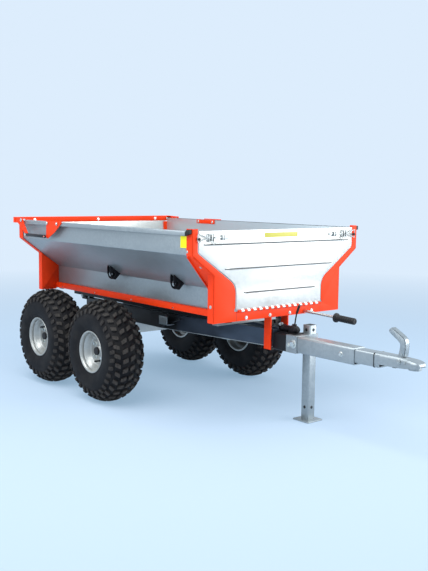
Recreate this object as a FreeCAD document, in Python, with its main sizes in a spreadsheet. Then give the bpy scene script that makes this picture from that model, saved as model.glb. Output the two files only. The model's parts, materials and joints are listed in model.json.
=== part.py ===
"""ATV dump trailer: a tandem-axle off-road tipping trailer with a galvanised body in red frames.

X runs forward to the coupler, Y to the left and Z up, in millimetres.  The origin is on the ground,
on the centreline, in the middle of the overall length.  Every size is a cell of the spreadsheet
"sizes"; PLACES works out the positions that pieces share, and each feature is bound to both.
"""
import FreeCAD
import Part
import math
import os
import re

import Sketcher
from FreeCAD import Placement, Rotation, Vector

SIZES = {
    # whole trailer
    "overall_length": 2645, "rear_overhang": 26, "bogie_setback": 650, "round_sides": 12, "wire_sides": 6,
    # wheels
    "axle_spacing": 590, "half_track": 528, "tyre_radius": 279.5, "tyre_width": 210,
    "tyre_facets": 24, "crown_share": 0.44, "shoulder_share": 0.88, "shoulder_drop": 42,
    "bulge_height": 70, "lug_height": 14, "lug_length": 36, "lug_width": 30, "lug_skew": 12,
    "lug_row_share": 0.26, "flange_radius": 115, "rim_width": 186, "rim_lip": 6,
    "bead_radius": 104, "bead_gap": 1, "bead_wall": 3, "well_depth": 20, "dish_depth": 56,
    "lip_depth": 26, "disc_thickness": 8, "hub_radius": 26, "hub_nose": 10, "hub_depth": 70,
    "axle_radius": 16, "axle_inset": 2, "wheel_clearance": 0.1,
    # bogie
    "beam_clearance": 25, "beam_width": 55, "beam_depth": 76, "beam_end_depth": 64,
    "beam_end": 36, "beam_middle": 60, "pivot_rise": 55, "pivot_radius": 22, "pivot_end": 6,
    "axle_tube": 70, "axle_gap": 10,
    # chassis
    "rail_bottom": 370, "rail_height": 88, "rail_width": 40, "rail_half_width": 160,
    "rail_bend": 336, "apex_half_width": 45, "hinge_inset": 134, "hinge_tube_radius": 20,
    "hinge_pin_radius": 12, "hinge_pin_inset": 4, "hinge_clearance": 0.1, "hinge_lug": 12,
    "tie_setback": 270, "tie_width": 50, "tie_height": 42, "rest_setback": 830, "rest_width": 40,
    # drawbar
    "drawbar_size": 80, "drawbar_bottom": 363, "drawbar_end": 352, "drawbar_wall": 5,
    "sleeve_length": 89, "sleeve_wall": 5, "sleeve_top": 3, "drawbar_inset": 4,
    "extension_height": 64, "extension_overlap": 240, "coupler_length": 258,
    "coupler_width": 76, "coupler_reach": 320, "coupler_wall": 3, "coupler_drop": 50,
    "slot_end": 100, "ball_radius": 25.4, "ball_depth": 22, "coupler_slant": 14, "ball_set": 41,
    "handle_width": 28, "handle_sheet": 10, "handle_rise": 88, "handle_reach": 155,
    # jack
    "jack_post": 50, "jack_post_wall": 3, "jack_offset": 80, "jack_top": 490, "jack_wall": 5,
    "jack_foot": 110, "foot_plate": 6, "jack_clearance": 0.3, "clamp_gap": 3, "clamp_ears": 13,
    "clamp_lip": 4, "pin_hole_radius": 8, "pin_hole_low": 70, "pin_hole_high": 466,
    # pump
    "pump_radius": 20, "pump_length": 112, "pump_plate": 4, "pump_plate_length": 133,
    "pump_offset": 10, "pump_head": 44, "lever_height": 105, "lever_thickness": 14,
    # body
    "bed_length": 1739, "frame_bottom": 522, "bed_top": 975, "floor_top": 565, "sheet": 2.5,
    "floor_sheet": 3, "frame_plate": 4, "front_flange": 45, "rear_flange": 45,
    "upper_half_width": 567, "tyre_gap": 83, "sill_width": 18, "sill_height": 35, "sill_wall": 4,
    "low_knee": 669, "high_knee": 852, "panel_drop": 10, "panel_foot": 18,
    "frame_low_half_width": 440, "gusset_high": 39, "gusset_low": 174, "mouth_inset": 29,
    "mouth_low_inset": 20, "mouth_high_rise": 10, "mouth_low_rise": 30, "mouth_radius": 76,
    "notch_width": 11, "notch_height": 20, "strip_rise": 5, "lip_width": 23, "lip_drop": 22,
    "bearer_offset": 190, "bearer_size": 40, "bearer_end": 40, "bearer_reach": 900,
    "floor_bar": 40, "floor_bars": 5, "bar_inset": 40,
    # side fittings
    "ear_thickness": 5, "ear_spacing": 28, "ear_rear": 743, "ear_pitch": 598, "ear_start": 14,
    "ear_length": 82, "ear_height": 54,
    "bracket_plate": 4, "bracket_length": 167, "reflector_length": 47, "reflector_height": 55,
    "reflector_depth": 3, "reflector_drop": 35, "guide_length": 48, "guide_thickness": 6,
    "guide_gap": 12, "guide_drop": 14, "tip_offset": 180, "tip_rise": 14, "tip_tilt": 3.3,
    "tip_radius": 10, "tip_reach": 205, "grip_radius": 17, "grip_length": 137, "grip_flange": 24,
    # gates
    "gate_gap": 6, "gate_sheet": 3, "gate_top_gap": 10, "crease_depth": 4, "crease_half": 6,
    "crease_top": 75, "crease_foot": 88, "crease_margin": 36, "crease_step": 10,
    "rest_gap": 0.3, "latch_drop": 47, "peg_radius": 5, "peg_length": 14, "latch_base": 6,
    "latch_length": 110, "tail_sheet": 3, "tail_beam_height": 34, "tail_rib": 20,
    "tail_rib_depth": 12, "tail_lap": 17, "arm_plate": 5, "arm_gap": 2, "pin_end": 5,
    "pivot_inset": 81, "pivot_drop": 12, "gate_pin_radius": 8,
    "knuckle_radius": 6, "knuckle_pitch": 40, "knuckle_count": 15, "knuckle_gap": 0.5,
    "hinge_wire_radius": 3.2,
    # struts and ram
    "strut_span": 243, "strut_arm_reach": 73, "strut_drop": 85, "strut_radius": 9,
    "strut_rod_radius": 5, "strut_eye": 9, "strut_eye_width": 8, "strut_pin_radius": 4,
    "strut_gap": 2, "ram_radius": 25, "ram_rod_radius": 14, "ram_pin_radius": 10,
    "ram_foot_setback": 100, "ram_foot_rise": 40, "ram_eye_setback": 700, "ram_eye_drop": 27,
    "ram_boss": 22, "ram_boss_width": 60, "ram_gland": 70, "ram_insert": 230,
    "ram_eye_width": 36, "ram_lug": 8, "ram_lug_gap": 1, "ram_eye_gap": 4, "ram_seat": 20,
    "slide_clearance": 0.3,
}

PLACES = {
    "rear_end": "-overall_length / 2",
    "nose": "overall_length / 2",
    "bogie_x": "rear_end + bogie_setback",
    "bed_rear": "rear_end + rear_overhang",
    "bed_front": "bed_rear + bed_length",
    "panel_rear": "bed_rear + frame_plate",
    "panel_front": "bed_front - frame_plate",
    "panel_length": "panel_front - panel_rear",
    "panel_top": "bed_top - panel_drop",
    # the beams stand inside the tyres, and the foot of the body between them
    "tyre_inner": "half_track - tyre_width / 2",
    "beam_outer": "tyre_inner - beam_clearance",
    "beam_inner": "beam_outer - beam_width",
    "pivot_z": "tyre_radius + pivot_rise",
    "axle_half_length": "beam_inner - axle_gap",
    "disc_face": "rim_width / 2 - dish_depth",
    "floor_half_width": "tyre_inner - tyre_gap - sill_width",
    "inner_floor": "floor_half_width - sheet",
    "floor_under": "floor_top - floor_sheet",
    "bearer_bottom": "frame_bottom - bearer_size",
    "bearer_outer": "bearer_offset + bearer_size / 2",
    # both knees of the side turn by the same angle
    "slope_run": "upper_half_width - floor_half_width",
    "slope_rise": "high_knee - low_knee",
    "slope_length": "sqrt(slope_run * slope_run + slope_rise * slope_rise)",
    "slope": "slope_rise / slope_run",
    "mitre": "(slope_length - slope_run) / slope_rise",
    "frame_half_width": "upper_half_width + frame_plate",
    "frame_high_knee": "high_knee - frame_plate * mitre",
    "mouth_half_width": "upper_half_width - mouth_inset",
    "mouth_low_half_width": "floor_half_width - mouth_low_inset",
    "mouth_high_knee": "high_knee + mouth_high_rise",
    "mouth_low_knee": "low_knee + mouth_low_rise",
    "mouth_slope": "(mouth_half_width - mouth_low_half_width) / (mouth_high_knee - mouth_low_knee)",
    "strip_top": "floor_top + strip_rise",
    "lip_outer": "upper_half_width + lip_width",
    # chassis
    "rail_top": "rail_bottom + rail_height",
    "hinge_x": "bed_rear + hinge_inset",
    "hinge_z": "rail_top + hinge_tube_radius",
    "sleeve_rear": "bed_front + rest_gap",
    "sleeve_front": "sleeve_rear + sleeve_length",
    "drawbar_half": "drawbar_size / 2",
    "drawbar_top": "drawbar_bottom + drawbar_size",
    "drawbar_front": "nose - drawbar_end",
    "pump_seat": "drawbar_top + sleeve_top",
    "pump_head_front": "sleeve_rear + 2 * rest_gap + pump_length",
    "extension_half": "drawbar_half - drawbar_wall",
    "extension_top": "drawbar_top - drawbar_wall",
    "extension_bottom": "extension_top - extension_height",
    "coupler_top": "extension_top + coupler_wall",
    "clamp_rear": "sleeve_front + clamp_gap",
    "jack_x": "clamp_rear + clamp_ears + jack_wall + jack_post / 2",
    # gates
    "beam_bottom": "bed_top + frame_plate - tail_beam_height",
    "beam_top": "bed_top + frame_plate",
    "gate_pivot_z": "bed_top - pivot_drop",
    "pivot_x": "bed_rear + pivot_inset",
    "tail_front": "bed_rear - rest_gap",
    "tail_rear": "tail_front - tail_sheet",
    "arm_offset": "lip_outer + arm_gap",
    "arm_outer": "arm_offset + arm_plate",
    "gate_hinge_z": "floor_top + knuckle_radius + 1",
    "gate_hinge_x": "bed_front + knuckle_radius",
    "crease_drop": "(bed_top - crease_top - gate_hinge_z - crease_foot) / 2",
    # struts and ram
    "strut_offset": "arm_outer + strut_gap + strut_radius",
    "strut_end": "strut_offset + strut_eye_width / 2 + strut_radius / 2",
    "strut_arm_x": "pivot_x + strut_arm_reach",
    "strut_arm_z": "gate_pivot_z - strut_drop",
    "strut_foot_x": "strut_arm_x + strut_span",
    "ram_foot_x": "bogie_x - ram_foot_setback",
    "ram_foot_z": "rail_bottom + ram_foot_rise",
    "ram_eye_x": "bogie_x + ram_eye_setback",
    "ram_eye_z": "frame_bottom - ram_eye_drop",
    "ram_run": "ram_eye_x - ram_foot_x",
    "ram_rise": "ram_eye_z - ram_foot_z",
    "ram_length": "sqrt(ram_run * ram_run + ram_rise * ram_rise)",
}

WORD = r"[a-z][a-z0-9_]*"
PLANES = {"XY": Rotation(), "XZ": Rotation(Vector(1, 0, 0), 90), "YZ": Rotation(Vector(1, 1, 1), 120)}
NORMALS = {"XY": Vector(0, 0, 1), "XZ": Vector(0, 1, 0), "YZ": Vector(1, 0, 0)}
TURNS = {"X": Rotation(Vector(0, 1, 0), 90), "Y": Rotation(Vector(1, 0, 0), -90), "Z": Rotation()}

DOC = FreeCAD.newDocument("atv_dump_trailer")
SHEET = DOC.addObject("Spreadsheet::Sheet", "sizes")
NODES = []


def fill_sheet():
    """Put each driving size in a cell of its own, with its name as the alias."""
    for row, (word, number) in enumerate(SIZES.items(), start=1):
        SHEET.set(f"A{row}", word)
        SHEET.set(f"B{row}", str(number))
        SHEET.setAlias(f"B{row}", word)
    DOC.recompute()


def formula(text, prefix="sizes."):
    """Write out the PLACES in an expression and point each size at its cell."""
    text, wider = None, str(text)
    while wider != text:
        text = wider
        wider = re.sub(WORD, lambda m: f"({PLACES[m[0]]})" if m[0] in PLACES else m[0], text)
    return re.sub(WORD, lambda m: prefix + m[0] if m[0] in SIZES else m[0], text)


def number(text):
    """Work an expression out from the sheet."""
    return float(SHEET.evalExpression(formula(text, "")))


def bind(item, **texts):
    """Bind properties of an object to expressions."""
    for prop, text in texts.items():
        item.setExpression(prop, formula(text))


def place(item, corner, turn=None):
    """Give an object its bound position, and a rotation."""
    item.Placement = Placement(Vector(*(number(text) for text in corner)), turn or Rotation())
    for letter, text in zip("xyz", corner):
        item.setExpression(f"Placement.Base.{letter}", formula(text))


def box(name, corner, size):
    """Make a block from its lowest corner."""
    item = DOC.addObject("Part::Box", name)
    bind(item, Length=size[0], Width=size[1], Height=size[2])
    place(item, corner)
    return item


def rod(name, axis, start, radius, length):
    """Make a cylinder that runs from its start along +axis."""
    item = DOC.addObject("Part::Cylinder", name)
    bind(item, Radius=radius, Height=length)
    place(item, start, TURNS[axis])
    return item


def bar(name, axis, start, radius, length, sides="round_sides"):
    """Make a small round bar with flat sides, such as a pin or an eye, along +axis."""
    item = DOC.addObject("Part::Prism", name)
    item.Polygon = int(number(sides))
    bind(item, Circumradius=radius, Height=length)
    place(item, start, TURNS[axis])
    return item


def bore(name, axis, start, radius, length, clearance="hinge_clearance", sides="round_sides"):
    """Make the tool for a flat-sided bore that clears a round bar of this radius."""
    return bar(name, axis, start, f"({radius} + {clearance}) / cos(180 / {sides})", length, sides)


def tie(sketch, item, end, across, up):
    """Tie a point of a sketch to expressions for its two coordinates."""
    for kind, text in (("DistanceX", across), ("DistanceY", up)):
        index = sketch.addConstraint(Sketcher.Constraint(kind, -1, 1, item, end, number(text)))
        sketch.setExpression(f"Constraints[{index}]", formula(text))


def corner_arc(before, corner, after, radius):
    """Find where an arc that rounds a corner leaves both lines, and its centre."""
    inward, onward = (before - corner).normalize(), (after - corner).normalize()
    half = inward.getAngle(onward) / 2
    centre = corner + (inward + onward).normalize() * (radius / math.sin(half))
    return corner + inward * (radius / math.tan(half)), corner + onward * (radius / math.tan(half)), centre


def round_corner(sketch, before, line, corner, ends, text):
    """Join two lines by an arc of a bound radius, with a point held where the lines would meet."""
    leave, arrive, centre = ends
    left_turn = (leave - corner).cross(arrive - corner).z < 0
    start, stop = (leave, arrive) if left_turn else (arrive, leave)
    angles = [math.atan2((point - centre).y, (point - centre).x) for point in (start, stop)]
    circle = Part.Circle(centre, Vector(0, 0, 1), number(text))
    arc = sketch.addGeometry(Part.ArcOfCircle(circle, *angles), False)
    held = sketch.addGeometry(Part.Point(corner), True)
    first, last = (1, 2) if left_turn else (2, 1)
    sketch.addConstraint(Sketcher.Constraint("Tangent", before, 2, arc, first))
    sketch.addConstraint(Sketcher.Constraint("Tangent", arc, last, line, 1))
    sketch.addConstraint(Sketcher.Constraint("PointOnObject", held, 1, before))
    sketch.addConstraint(Sketcher.Constraint("PointOnObject", held, 1, line))
    index = sketch.addConstraint(Sketcher.Constraint("Radius", arc, number(text)))
    sketch.setExpression(f"Constraints[{index}]", formula(text))
    return held


def draw_outline(sketch, outline):
    """Draw a closed outline of (across, up) corners; a third entry is the radius of a rounded one."""
    corners = [Vector(number(corner[0]), number(corner[1]), 0) for corner in outline]
    first, count = sketch.GeometryCount, len(outline)
    ends = []
    for turn, corner in enumerate(outline):
        near = corners[turn - 1], corners[turn], corners[(turn + 1) % count]
        ends.append(corner_arc(*near, number(corner[2])) if len(corner) == 3 else near[1:2] * 2)
    for turn in range(count):
        segment = Part.LineSegment(ends[turn][1], ends[(turn + 1) % count][0])
        sketch.addGeometry(segment, False)
    for turn, corner in enumerate(outline):
        before, line = first + (turn - 1) % count, first + turn
        if len(corner) == 3:
            held = round_corner(sketch, before, line, corners[turn], ends[turn], corner[2])
            tie(sketch, held, 1, corner[0], corner[1])
        else:
            sketch.addConstraint(Sketcher.Constraint("Coincident", before, 2, line, 1))
            tie(sketch, line, 1, corner[0], corner[1])


def prism(name, plane, start, depth, outline, *windows):
    """Sketch an outline with its windows on a plane at start and extrude it by depth."""
    sketch = DOC.addObject("Sketcher::SketchObject", name + "_sketch")
    for edge in (outline,) + windows:
        draw_outline(sketch, edge)
    normal = NORMALS[plane]
    place(sketch, [f"({start}) * {int(part)}" if part else "0" for part in normal], PLANES[plane])
    item = DOC.addObject("Part::Extrusion", name)
    item.Base = sketch
    item.DirMode = "Custom"
    item.Dir = normal
    item.Solid = True
    item.FaceMakerClass = "Part::FaceMakerBullseye"
    bind(item, LengthFwd=depth)
    return item


def both_halves(half):
    """Complete an outline that is the same on both sides of the centreline."""
    return list(half) + [(f"-({corner[0]})",) + tuple(corner[1:]) for corner in reversed(half)]


def rectangle(left, low, right, high):
    """List the corners of a rectangle."""
    return [(left, low), (right, low), (right, high), (left, high)]


def fuse(name, *items):
    """Join solids that meet."""
    item = DOC.addObject("Part::MultiFuse", name)
    item.Shapes = list(items)
    return item


def cut(name, base, *tools):
    """Take tools away from a solid."""
    item = DOC.addObject("Part::Cut", name)
    item.Base = base
    item.Tool = tools[0] if len(tools) == 1 else group(name + "_tools", *tools)
    return item


def common(name, first, second):
    """Keep what two solids share."""
    item = DOC.addObject("Part::Common", name)
    item.Base = first
    item.Tool = second
    return item


def group(name, *items):
    """Gather solids that don't touch."""
    item = DOC.addObject("Part::Compound", name)
    item.Links = list(items)
    return item


def mirrored(name, source):
    """Make the left-hand twin of a right-hand piece."""
    item = DOC.addObject("Part::Mirroring", name)
    item.Source = source
    item.Normal = Vector(0, 1, 0)
    return item


def pair(name, source):
    """Gather a piece with its twin across the centreline."""
    return group(name, source, mirrored(name + "_twin", source))


def node(label, item):
    """Name a finished sub-part."""
    item.Label = label
    NODES.append(item)
    return item


# ---------------------------------------------------------------- wheels

def ring_faces(profile, facets):
    """Close a faceted ring about Y through a closed profile of (radius, across) corners."""
    def corner(radius, across, turn):
        angle = math.pi * (2 * turn + 1) / facets
        reach = radius / math.cos(math.pi / facets)
        return Vector(reach * math.sin(angle), across, -reach * math.cos(angle))

    faces = []
    for (r1, a1), (r2, a2) in zip(profile, profile[1:] + profile[:1]):
        for turn in range(facets):
            quad = [corner(r1, a1, turn), corner(r2, a2, turn),
                    corner(r2, a2, turn + 1), corner(r1, a1, turn + 1)]
            faces.append(Part.Face(Part.makePolygon(quad + quad[:1])))
    return Part.Solid(Part.makeShell(faces))


def tread_block(facets, turn, centre, lean, size, skew):
    """Make one tread lug: a block on facet number turn, at (radius, across), leaning outward."""
    length, width, height = size
    sunk = 3
    block = Part.makeBox(length, width, height + sunk, Vector(-length / 2, -width / 2, -sunk))
    block.rotate(Vector(), Vector(0, 0, 1), skew)
    block.rotate(Vector(), Vector(1, 0, 0), -lean)
    block.translate(Vector(0, centre[1], centre[0]))
    block.rotate(Vector(), Vector(0, 1, 0), 180 + 360 * turn / facets)
    return block


def tyre_shape():
    """Make a knobby tyre: a faceted carcass with staggered rows of lugs."""
    radius, half = number("tyre_radius"), number("tyre_width / 2")
    facets, skew = int(number("tyre_facets")), number("lug_skew")
    height, length, width = number("lug_height"), number("lug_length"), number("lug_width")
    seat = number("rim_width / 2 - rim_lip - bead_gap")
    crown = (radius - height, number("crown_share") * half)
    shoulder = (crown[0] - number("shoulder_drop"), number("shoulder_share") * half)
    side = [(number("bead_radius"), seat), (number("flange_radius + bead_gap"), seat),
            (number("flange_radius + bulge_height"), half), shoulder, crown]
    carcass = ring_faces(side + [(r, -a) for r, a in reversed(side)], facets)
    run, rise = shoulder[1] - crown[1], crown[0] - shoulder[0]
    lean = math.degrees(math.atan2(rise, run))
    middle = ((shoulder[0] + crown[0]) / 2, (shoulder[1] + crown[1]) / 2)
    edge_block = (length, 3 * math.hypot(run, rise) / 4, height)
    lugs = []
    for turn in range(facets):
        if turn % 2 == 0:
            lugs.append(tread_block(facets, turn, (crown[0], 0), 0, (length, width, height), skew))
        for hand in (1, -1):
            if turn % 2 == 0:
                spot = (middle[0], hand * middle[1])
                lugs.append(tread_block(facets, turn, spot, hand * lean, edge_block, 0))
            else:
                spot = (crown[0], hand * number("lug_row_share") * half)
                lugs.append(tread_block(facets, turn, spot, 0, (length, width, height), -skew * hand))
    return carcass.multiFuse(lugs)


def rim_shape():
    """Make a dished rim: flanges, bead seats, sloping dish, disc and hub, bored for the stub axle."""
    flange, half = number("flange_radius"), number("rim_width / 2")
    bead, seat = number("bead_radius"), half - number("rim_lip")
    hub, hole = number("hub_radius"), number("axle_radius + wheel_clearance")
    lip, well = bead - number("bead_wall"), bead - number("well_depth")
    face = number("disc_face")
    back, nose = face - number("disc_thickness"), face + number("hub_nose")
    step, inner = half - number("lip_depth"), back - number("hub_depth")
    profile = [(flange, half), (bead, seat), (bead, -seat), (flange, -half), (lip, -half), (lip, back),
               (hub, back), (hub, inner), (hole, inner), (hole, nose), (hub, nose), (hub, face),
               (well, face), (lip, step), (lip, half)]
    return ring_faces(profile, int(number("tyre_facets")))


def wheels():
    """Stand four wheels on the ground, dish outward."""
    tyre, rim = tyre_shape(), rim_shape()
    for end, along in (("front", 1), ("rear", -1)):
        for side, hand in (("left", 1), ("right", -1)):
            for kind, shape in (("tyre", tyre), ("rim", rim)):
                item = DOC.addObject("Part::Feature", f"{kind}_{end}_{side}")
                item.Shape = shape
                turn = Rotation() if hand > 0 else Rotation(Vector(0, 0, 1), 180)
                place(item, (f"bogie_x + {along} * axle_spacing / 2", f"{hand} * half_track",
                             "tyre_radius"), turn)
                node(f"{kind}_{end}_{side}", item)


def walking_beams():
    """Carry each side's two stub axles on a beam that rocks on the cross axle."""
    outline = []
    for hand in ("-", ""):
        end = f"bogie_x + {hand}axle_spacing / 2"
        middle = f"bogie_x + {hand}beam_middle"
        outline.append([(f"{end} + {hand}beam_end", "tyre_radius - beam_end_depth / 2"),
                        (f"{end} - {hand}beam_end", "tyre_radius - beam_end_depth / 2"),
                        (middle, "pivot_z - beam_depth / 2"), (middle, "pivot_z + beam_depth / 2"),
                        (f"{end} + {hand}beam_end", "tyre_radius + beam_end_depth / 2")])
    rear, front = [[tuple(text.replace("- -", "+ ") for text in corner) for corner in half] for half in outline]
    beam = prism("beam_bar", "XZ", "beam_inner", "beam_width",
                 rear[:3] + [front[2], front[1], front[0], front[4], front[3], rear[3], rear[4]])
    hole = bar("beam_bore", "Y", ("bogie_x", "beam_inner - 1", "pivot_z"), "pivot_radius", "beam_width + 2")
    stubs = []
    for word, sign in (("front", "+"), ("rear", "-")):
        start = (f"bogie_x {sign} axle_spacing / 2", "beam_outer", "tyre_radius")
        stubs.append(bar(f"stub_{word}", "Y", start, "axle_radius",
                         "half_track + disc_face + hub_nose - axle_inset - beam_outer"))
    left = fuse("beam_left", cut("beam_bored", beam, hole), *stubs)
    node("walking_beams", pair("walking_beams", left))


# ---------------------------------------------------------------- chassis

def rails():
    """Bend the two frame rails from the tip hinge in to the drawbar's apex."""
    start, end = "hinge_x - hinge_tube_radius", "sleeve_rear"
    bend = "bogie_x + rail_bend"
    inner = "rail_half_width - rail_width"
    outline = [(start, inner), (bend, inner), (end, "apex_half_width - rail_width"),
               (end, "apex_half_width"), (bend, "rail_half_width"), (start, "rail_half_width")]
    node("chassis_rails", pair("chassis_rails", prism("rail_left", "XY", "rail_bottom", "rail_height", outline)))


def axle_carrier():
    """Hang the cross axle under the rails, with the ram's foot lugs on top of it."""
    rear, front = "bogie_x - axle_tube / 2", "bogie_x + axle_tube / 2"
    tube = box("axle_bar", (rear, "-(axle_half_length)", "rail_bottom - axle_tube"),
               ("axle_tube", "2 * (axle_half_length)", "axle_tube"))
    reach = "(beam_outer + pivot_end)"
    spindle = bar("axle_spindle", "Y", ("bogie_x", f"-{reach}", "pivot_z"), "pivot_radius", f"2 * {reach}")
    side, boss = "ram_boss_width / 2 + ram_lug_gap", "ram_boss"
    lug = prism("ram_foot_lug", "XZ", side, "ram_lug",
                [(rear, "rail_bottom"), (front, "rail_bottom"),
                 (f"ram_foot_x + {boss}", f"ram_foot_z + {boss}"), (f"ram_foot_x - {boss}", f"ram_foot_z + {boss}"),
                 (f"ram_foot_x - {boss}", f"ram_foot_z - {boss}")])
    end = f"{side} + ram_lug + pin_end"
    pin = bar("ram_foot_pin", "Y", ("ram_foot_x", f"-({end})", "ram_foot_z"), "ram_pin_radius", f"2 * ({end})")
    node("axle_carrier", fuse("axle_carrier", tube, spindle, lug, mirrored("ram_foot_lug_twin", lug), pin))


def cross_members():
    """Tie the rails: the tip hinge tube with its pin, a cross tube and the bar that the bed rests on."""
    reach = "rail_half_width"
    tube = rod("hinge_tube", "Y", ("hinge_x", f"-{reach}", "hinge_z"), "hinge_tube_radius", f"2 * {reach}")
    end = "(bearer_outer - hinge_pin_inset)"
    pin = bar("hinge_pin", "Y", ("hinge_x", f"-{end}", "hinge_z"), "hinge_pin_radius", f"2 * {end}")
    brace = box("rail_tie", ("bogie_x + tie_setback", "rail_width - rail_half_width", "rail_bottom"),
                ("tie_width", "2 * (rail_half_width - rail_width)", "tie_height"))
    rest = box("bed_rest", ("bogie_x + rest_setback", "-(bearer_outer)", "rail_top"),
               ("rest_width", "2 * (bearer_outer)", "bearer_bottom - rest_gap - rail_top"))
    node("cross_members", group("cross_members", fuse("tip_hinge", tube, pin), brace, rest))


# ---------------------------------------------------------------- drawbar

def drawbar():
    """Build the drawbar: sleeve on the apex, main tube and telescoping extension."""
    sleeve = rectangle("-(drawbar_half) - sleeve_wall", "drawbar_bottom - sleeve_wall",
                       "drawbar_half + sleeve_wall", "pump_seat")
    tube = rectangle("-(drawbar_half)", "drawbar_bottom", "drawbar_half", "drawbar_top")
    node("drawbar_sleeve", prism("drawbar_sleeve", "YZ", "sleeve_rear", "sleeve_length", sleeve, tube))
    inner = rectangle("-(extension_half)", "drawbar_bottom + drawbar_wall", "extension_half", "extension_top")
    start = "sleeve_rear + drawbar_inset"
    node("drawbar_tube", prism("drawbar_tube", "YZ", start, f"drawbar_front - ({start})", tube, inner))
    outer = rectangle("-(extension_half)", "extension_bottom", "extension_half", "extension_top")
    wall = "drawbar_wall"
    hole = rectangle(f"{wall} - (extension_half)", f"extension_bottom + {wall}",
                     f"extension_half - {wall}", f"extension_top - {wall}")
    begin = "drawbar_front - extension_overlap"
    node("drawbar_extension", prism("drawbar_extension", "YZ", begin, f"nose - coupler_length - ({begin})",
                                    outer, hole))


def coupler():
    """Make the ball coupler: a pressed channel on the extension, closing to a ball housing."""
    half, rear = "coupler_width / 2", "nose - coupler_reach"
    low, shoulder = "coupler_top - coupler_drop", "nose - coupler_width * 0.7"
    side = [(rear, low), ("nose", low), ("nose", "extension_top - coupler_slant"), (shoulder, "coupler_top"),
            (rear, "coupler_top")]
    right = [(f"{shoulder}", f"-{half}"), (f"nose - {half} / 3", f"-{half} * 0.8"), ("nose", f"-{half} * 0.4")]
    left = [(across, up[1:]) for across, up in reversed(right)]
    plan = [(rear, f"-{half}")] + right + left + [(rear, half)]
    solid = common("coupler_solid", prism("coupler_side", "XZ", f"-{half}", "coupler_width", side),
                   prism("coupler_plan", "XY", low, "coupler_drop", plan))
    slot = box("coupler_slot", (f"{rear} - 1", "-(extension_half)", "extension_bottom - 1"),
               ("coupler_reach - coupler_length + slot_end + 1", "2 * (extension_half)", "extension_height + 1"))
    mouth = rod("ball_mouth", "Z", ("nose - ball_set", "0", f"{low} - 1"), "ball_radius", "ball_depth + 1")
    node("ball_coupler", cut("ball_coupler", solid, slot, mouth))
    knee, back = "nose - ball_set - 37", "nose - handle_reach"
    sheet = "handle_sheet"
    handle = [(f"{knee} - 36", "coupler_top"), (f"{knee} + 8", "coupler_top"), (f"{knee} + 8", "coupler_top + 34"),
              (knee, "extension_top + handle_rise"), (back, "extension_top + handle_rise + 40"),
              (f"{back} - 3", f"extension_top + handle_rise + 40 - {sheet}"),
              (f"{knee} - 14", f"extension_top + handle_rise - {sheet}"), (f"{knee} - 22", "coupler_top + 32")]
    node("coupler_handle", prism("coupler_handle", "XZ", "-handle_width / 2", "handle_width", handle))


def square(half):
    """List the corners of a square about the jack's axis."""
    return rectangle(f"jack_x - ({half})", f"jack_offset - ({half})", f"jack_x + {half}", f"jack_offset + {half}")


def jack():
    """Stand the parking jack in its clamp beside the drawbar."""
    half = "jack_post / 2"
    hole = f"{half} + jack_clearance"
    outline = rectangle("clamp_rear", "-(drawbar_half) - jack_wall", f"jack_x + {hole} + jack_wall",
                        f"jack_offset + {hole} + jack_wall")
    passage = box("clamp_passage", ("clamp_rear - 1", "-(drawbar_half)", "drawbar_bottom"),
                  ("2 * jack_post", "drawbar_size", "drawbar_size"))
    body = prism("clamp_body", "XY", "drawbar_bottom - clamp_lip", "drawbar_size + clamp_lip + sleeve_top",
                 outline, square(hole))
    node("drawbar_clamp", cut("drawbar_clamp", body, passage))
    post = prism("jack_tube", "XY", "foot_plate", "jack_top - foot_plate", square(half),
                 square(f"{half} - jack_post_wall"))
    holes = [bar(f"pin_hole_{word}", "Y", ("jack_x", f"jack_offset - jack_post", f"pin_hole_{word}"),
                 "pin_hole_radius", "2 * jack_post") for word in ("low", "high")]
    foot = box("jack_plate", ("jack_x - jack_foot / 2", "jack_offset - jack_foot / 2", "0"),
               ("jack_foot", "jack_foot", "foot_plate"))
    node("jack_leg", fuse("jack_leg", cut("jack_post", post, *holes), foot))


def hand_pump():
    """Set the hand pump on the sleeve, with its long lever."""
    plate = box("pump_base", ("sleeve_rear", "pump_offset - 32", "pump_seat"),
                ("pump_plate_length", "64", "pump_plate"))
    barrel = bar("pump_barrel", "X", ("sleeve_rear + 2 * rest_gap", "pump_offset", "pump_seat + pump_radius"),
                 "pump_radius", "pump_length")
    top = "pump_seat + 2 * pump_radius"
    head = box("pump_head", ("pump_head_front - pump_head", "pump_offset - pump_head / 2", "pump_seat + pump_plate"),
               ("pump_head", "pump_head", "2 * pump_radius - pump_plate"))
    node("hand_pump", fuse("hand_pump", plate, barrel, head))
    foot = "pump_head_front"
    lever = [(f"{foot} - 36", top), (f"{foot} - 14", top), (f"{foot} + 3", f"{top} + 0.43 * lever_height"),
             (f"{foot} + 12", f"{top} + lever_height"), (f"{foot} - 3", f"{top} + lever_height + 3"),
             (f"{foot} - 13", f"{top} + 0.48 * lever_height")]
    node("pump_lever", prism("pump_lever", "XZ", "pump_offset + 2", "lever_thickness", lever))


# ---------------------------------------------------------------- tipping ram

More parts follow.
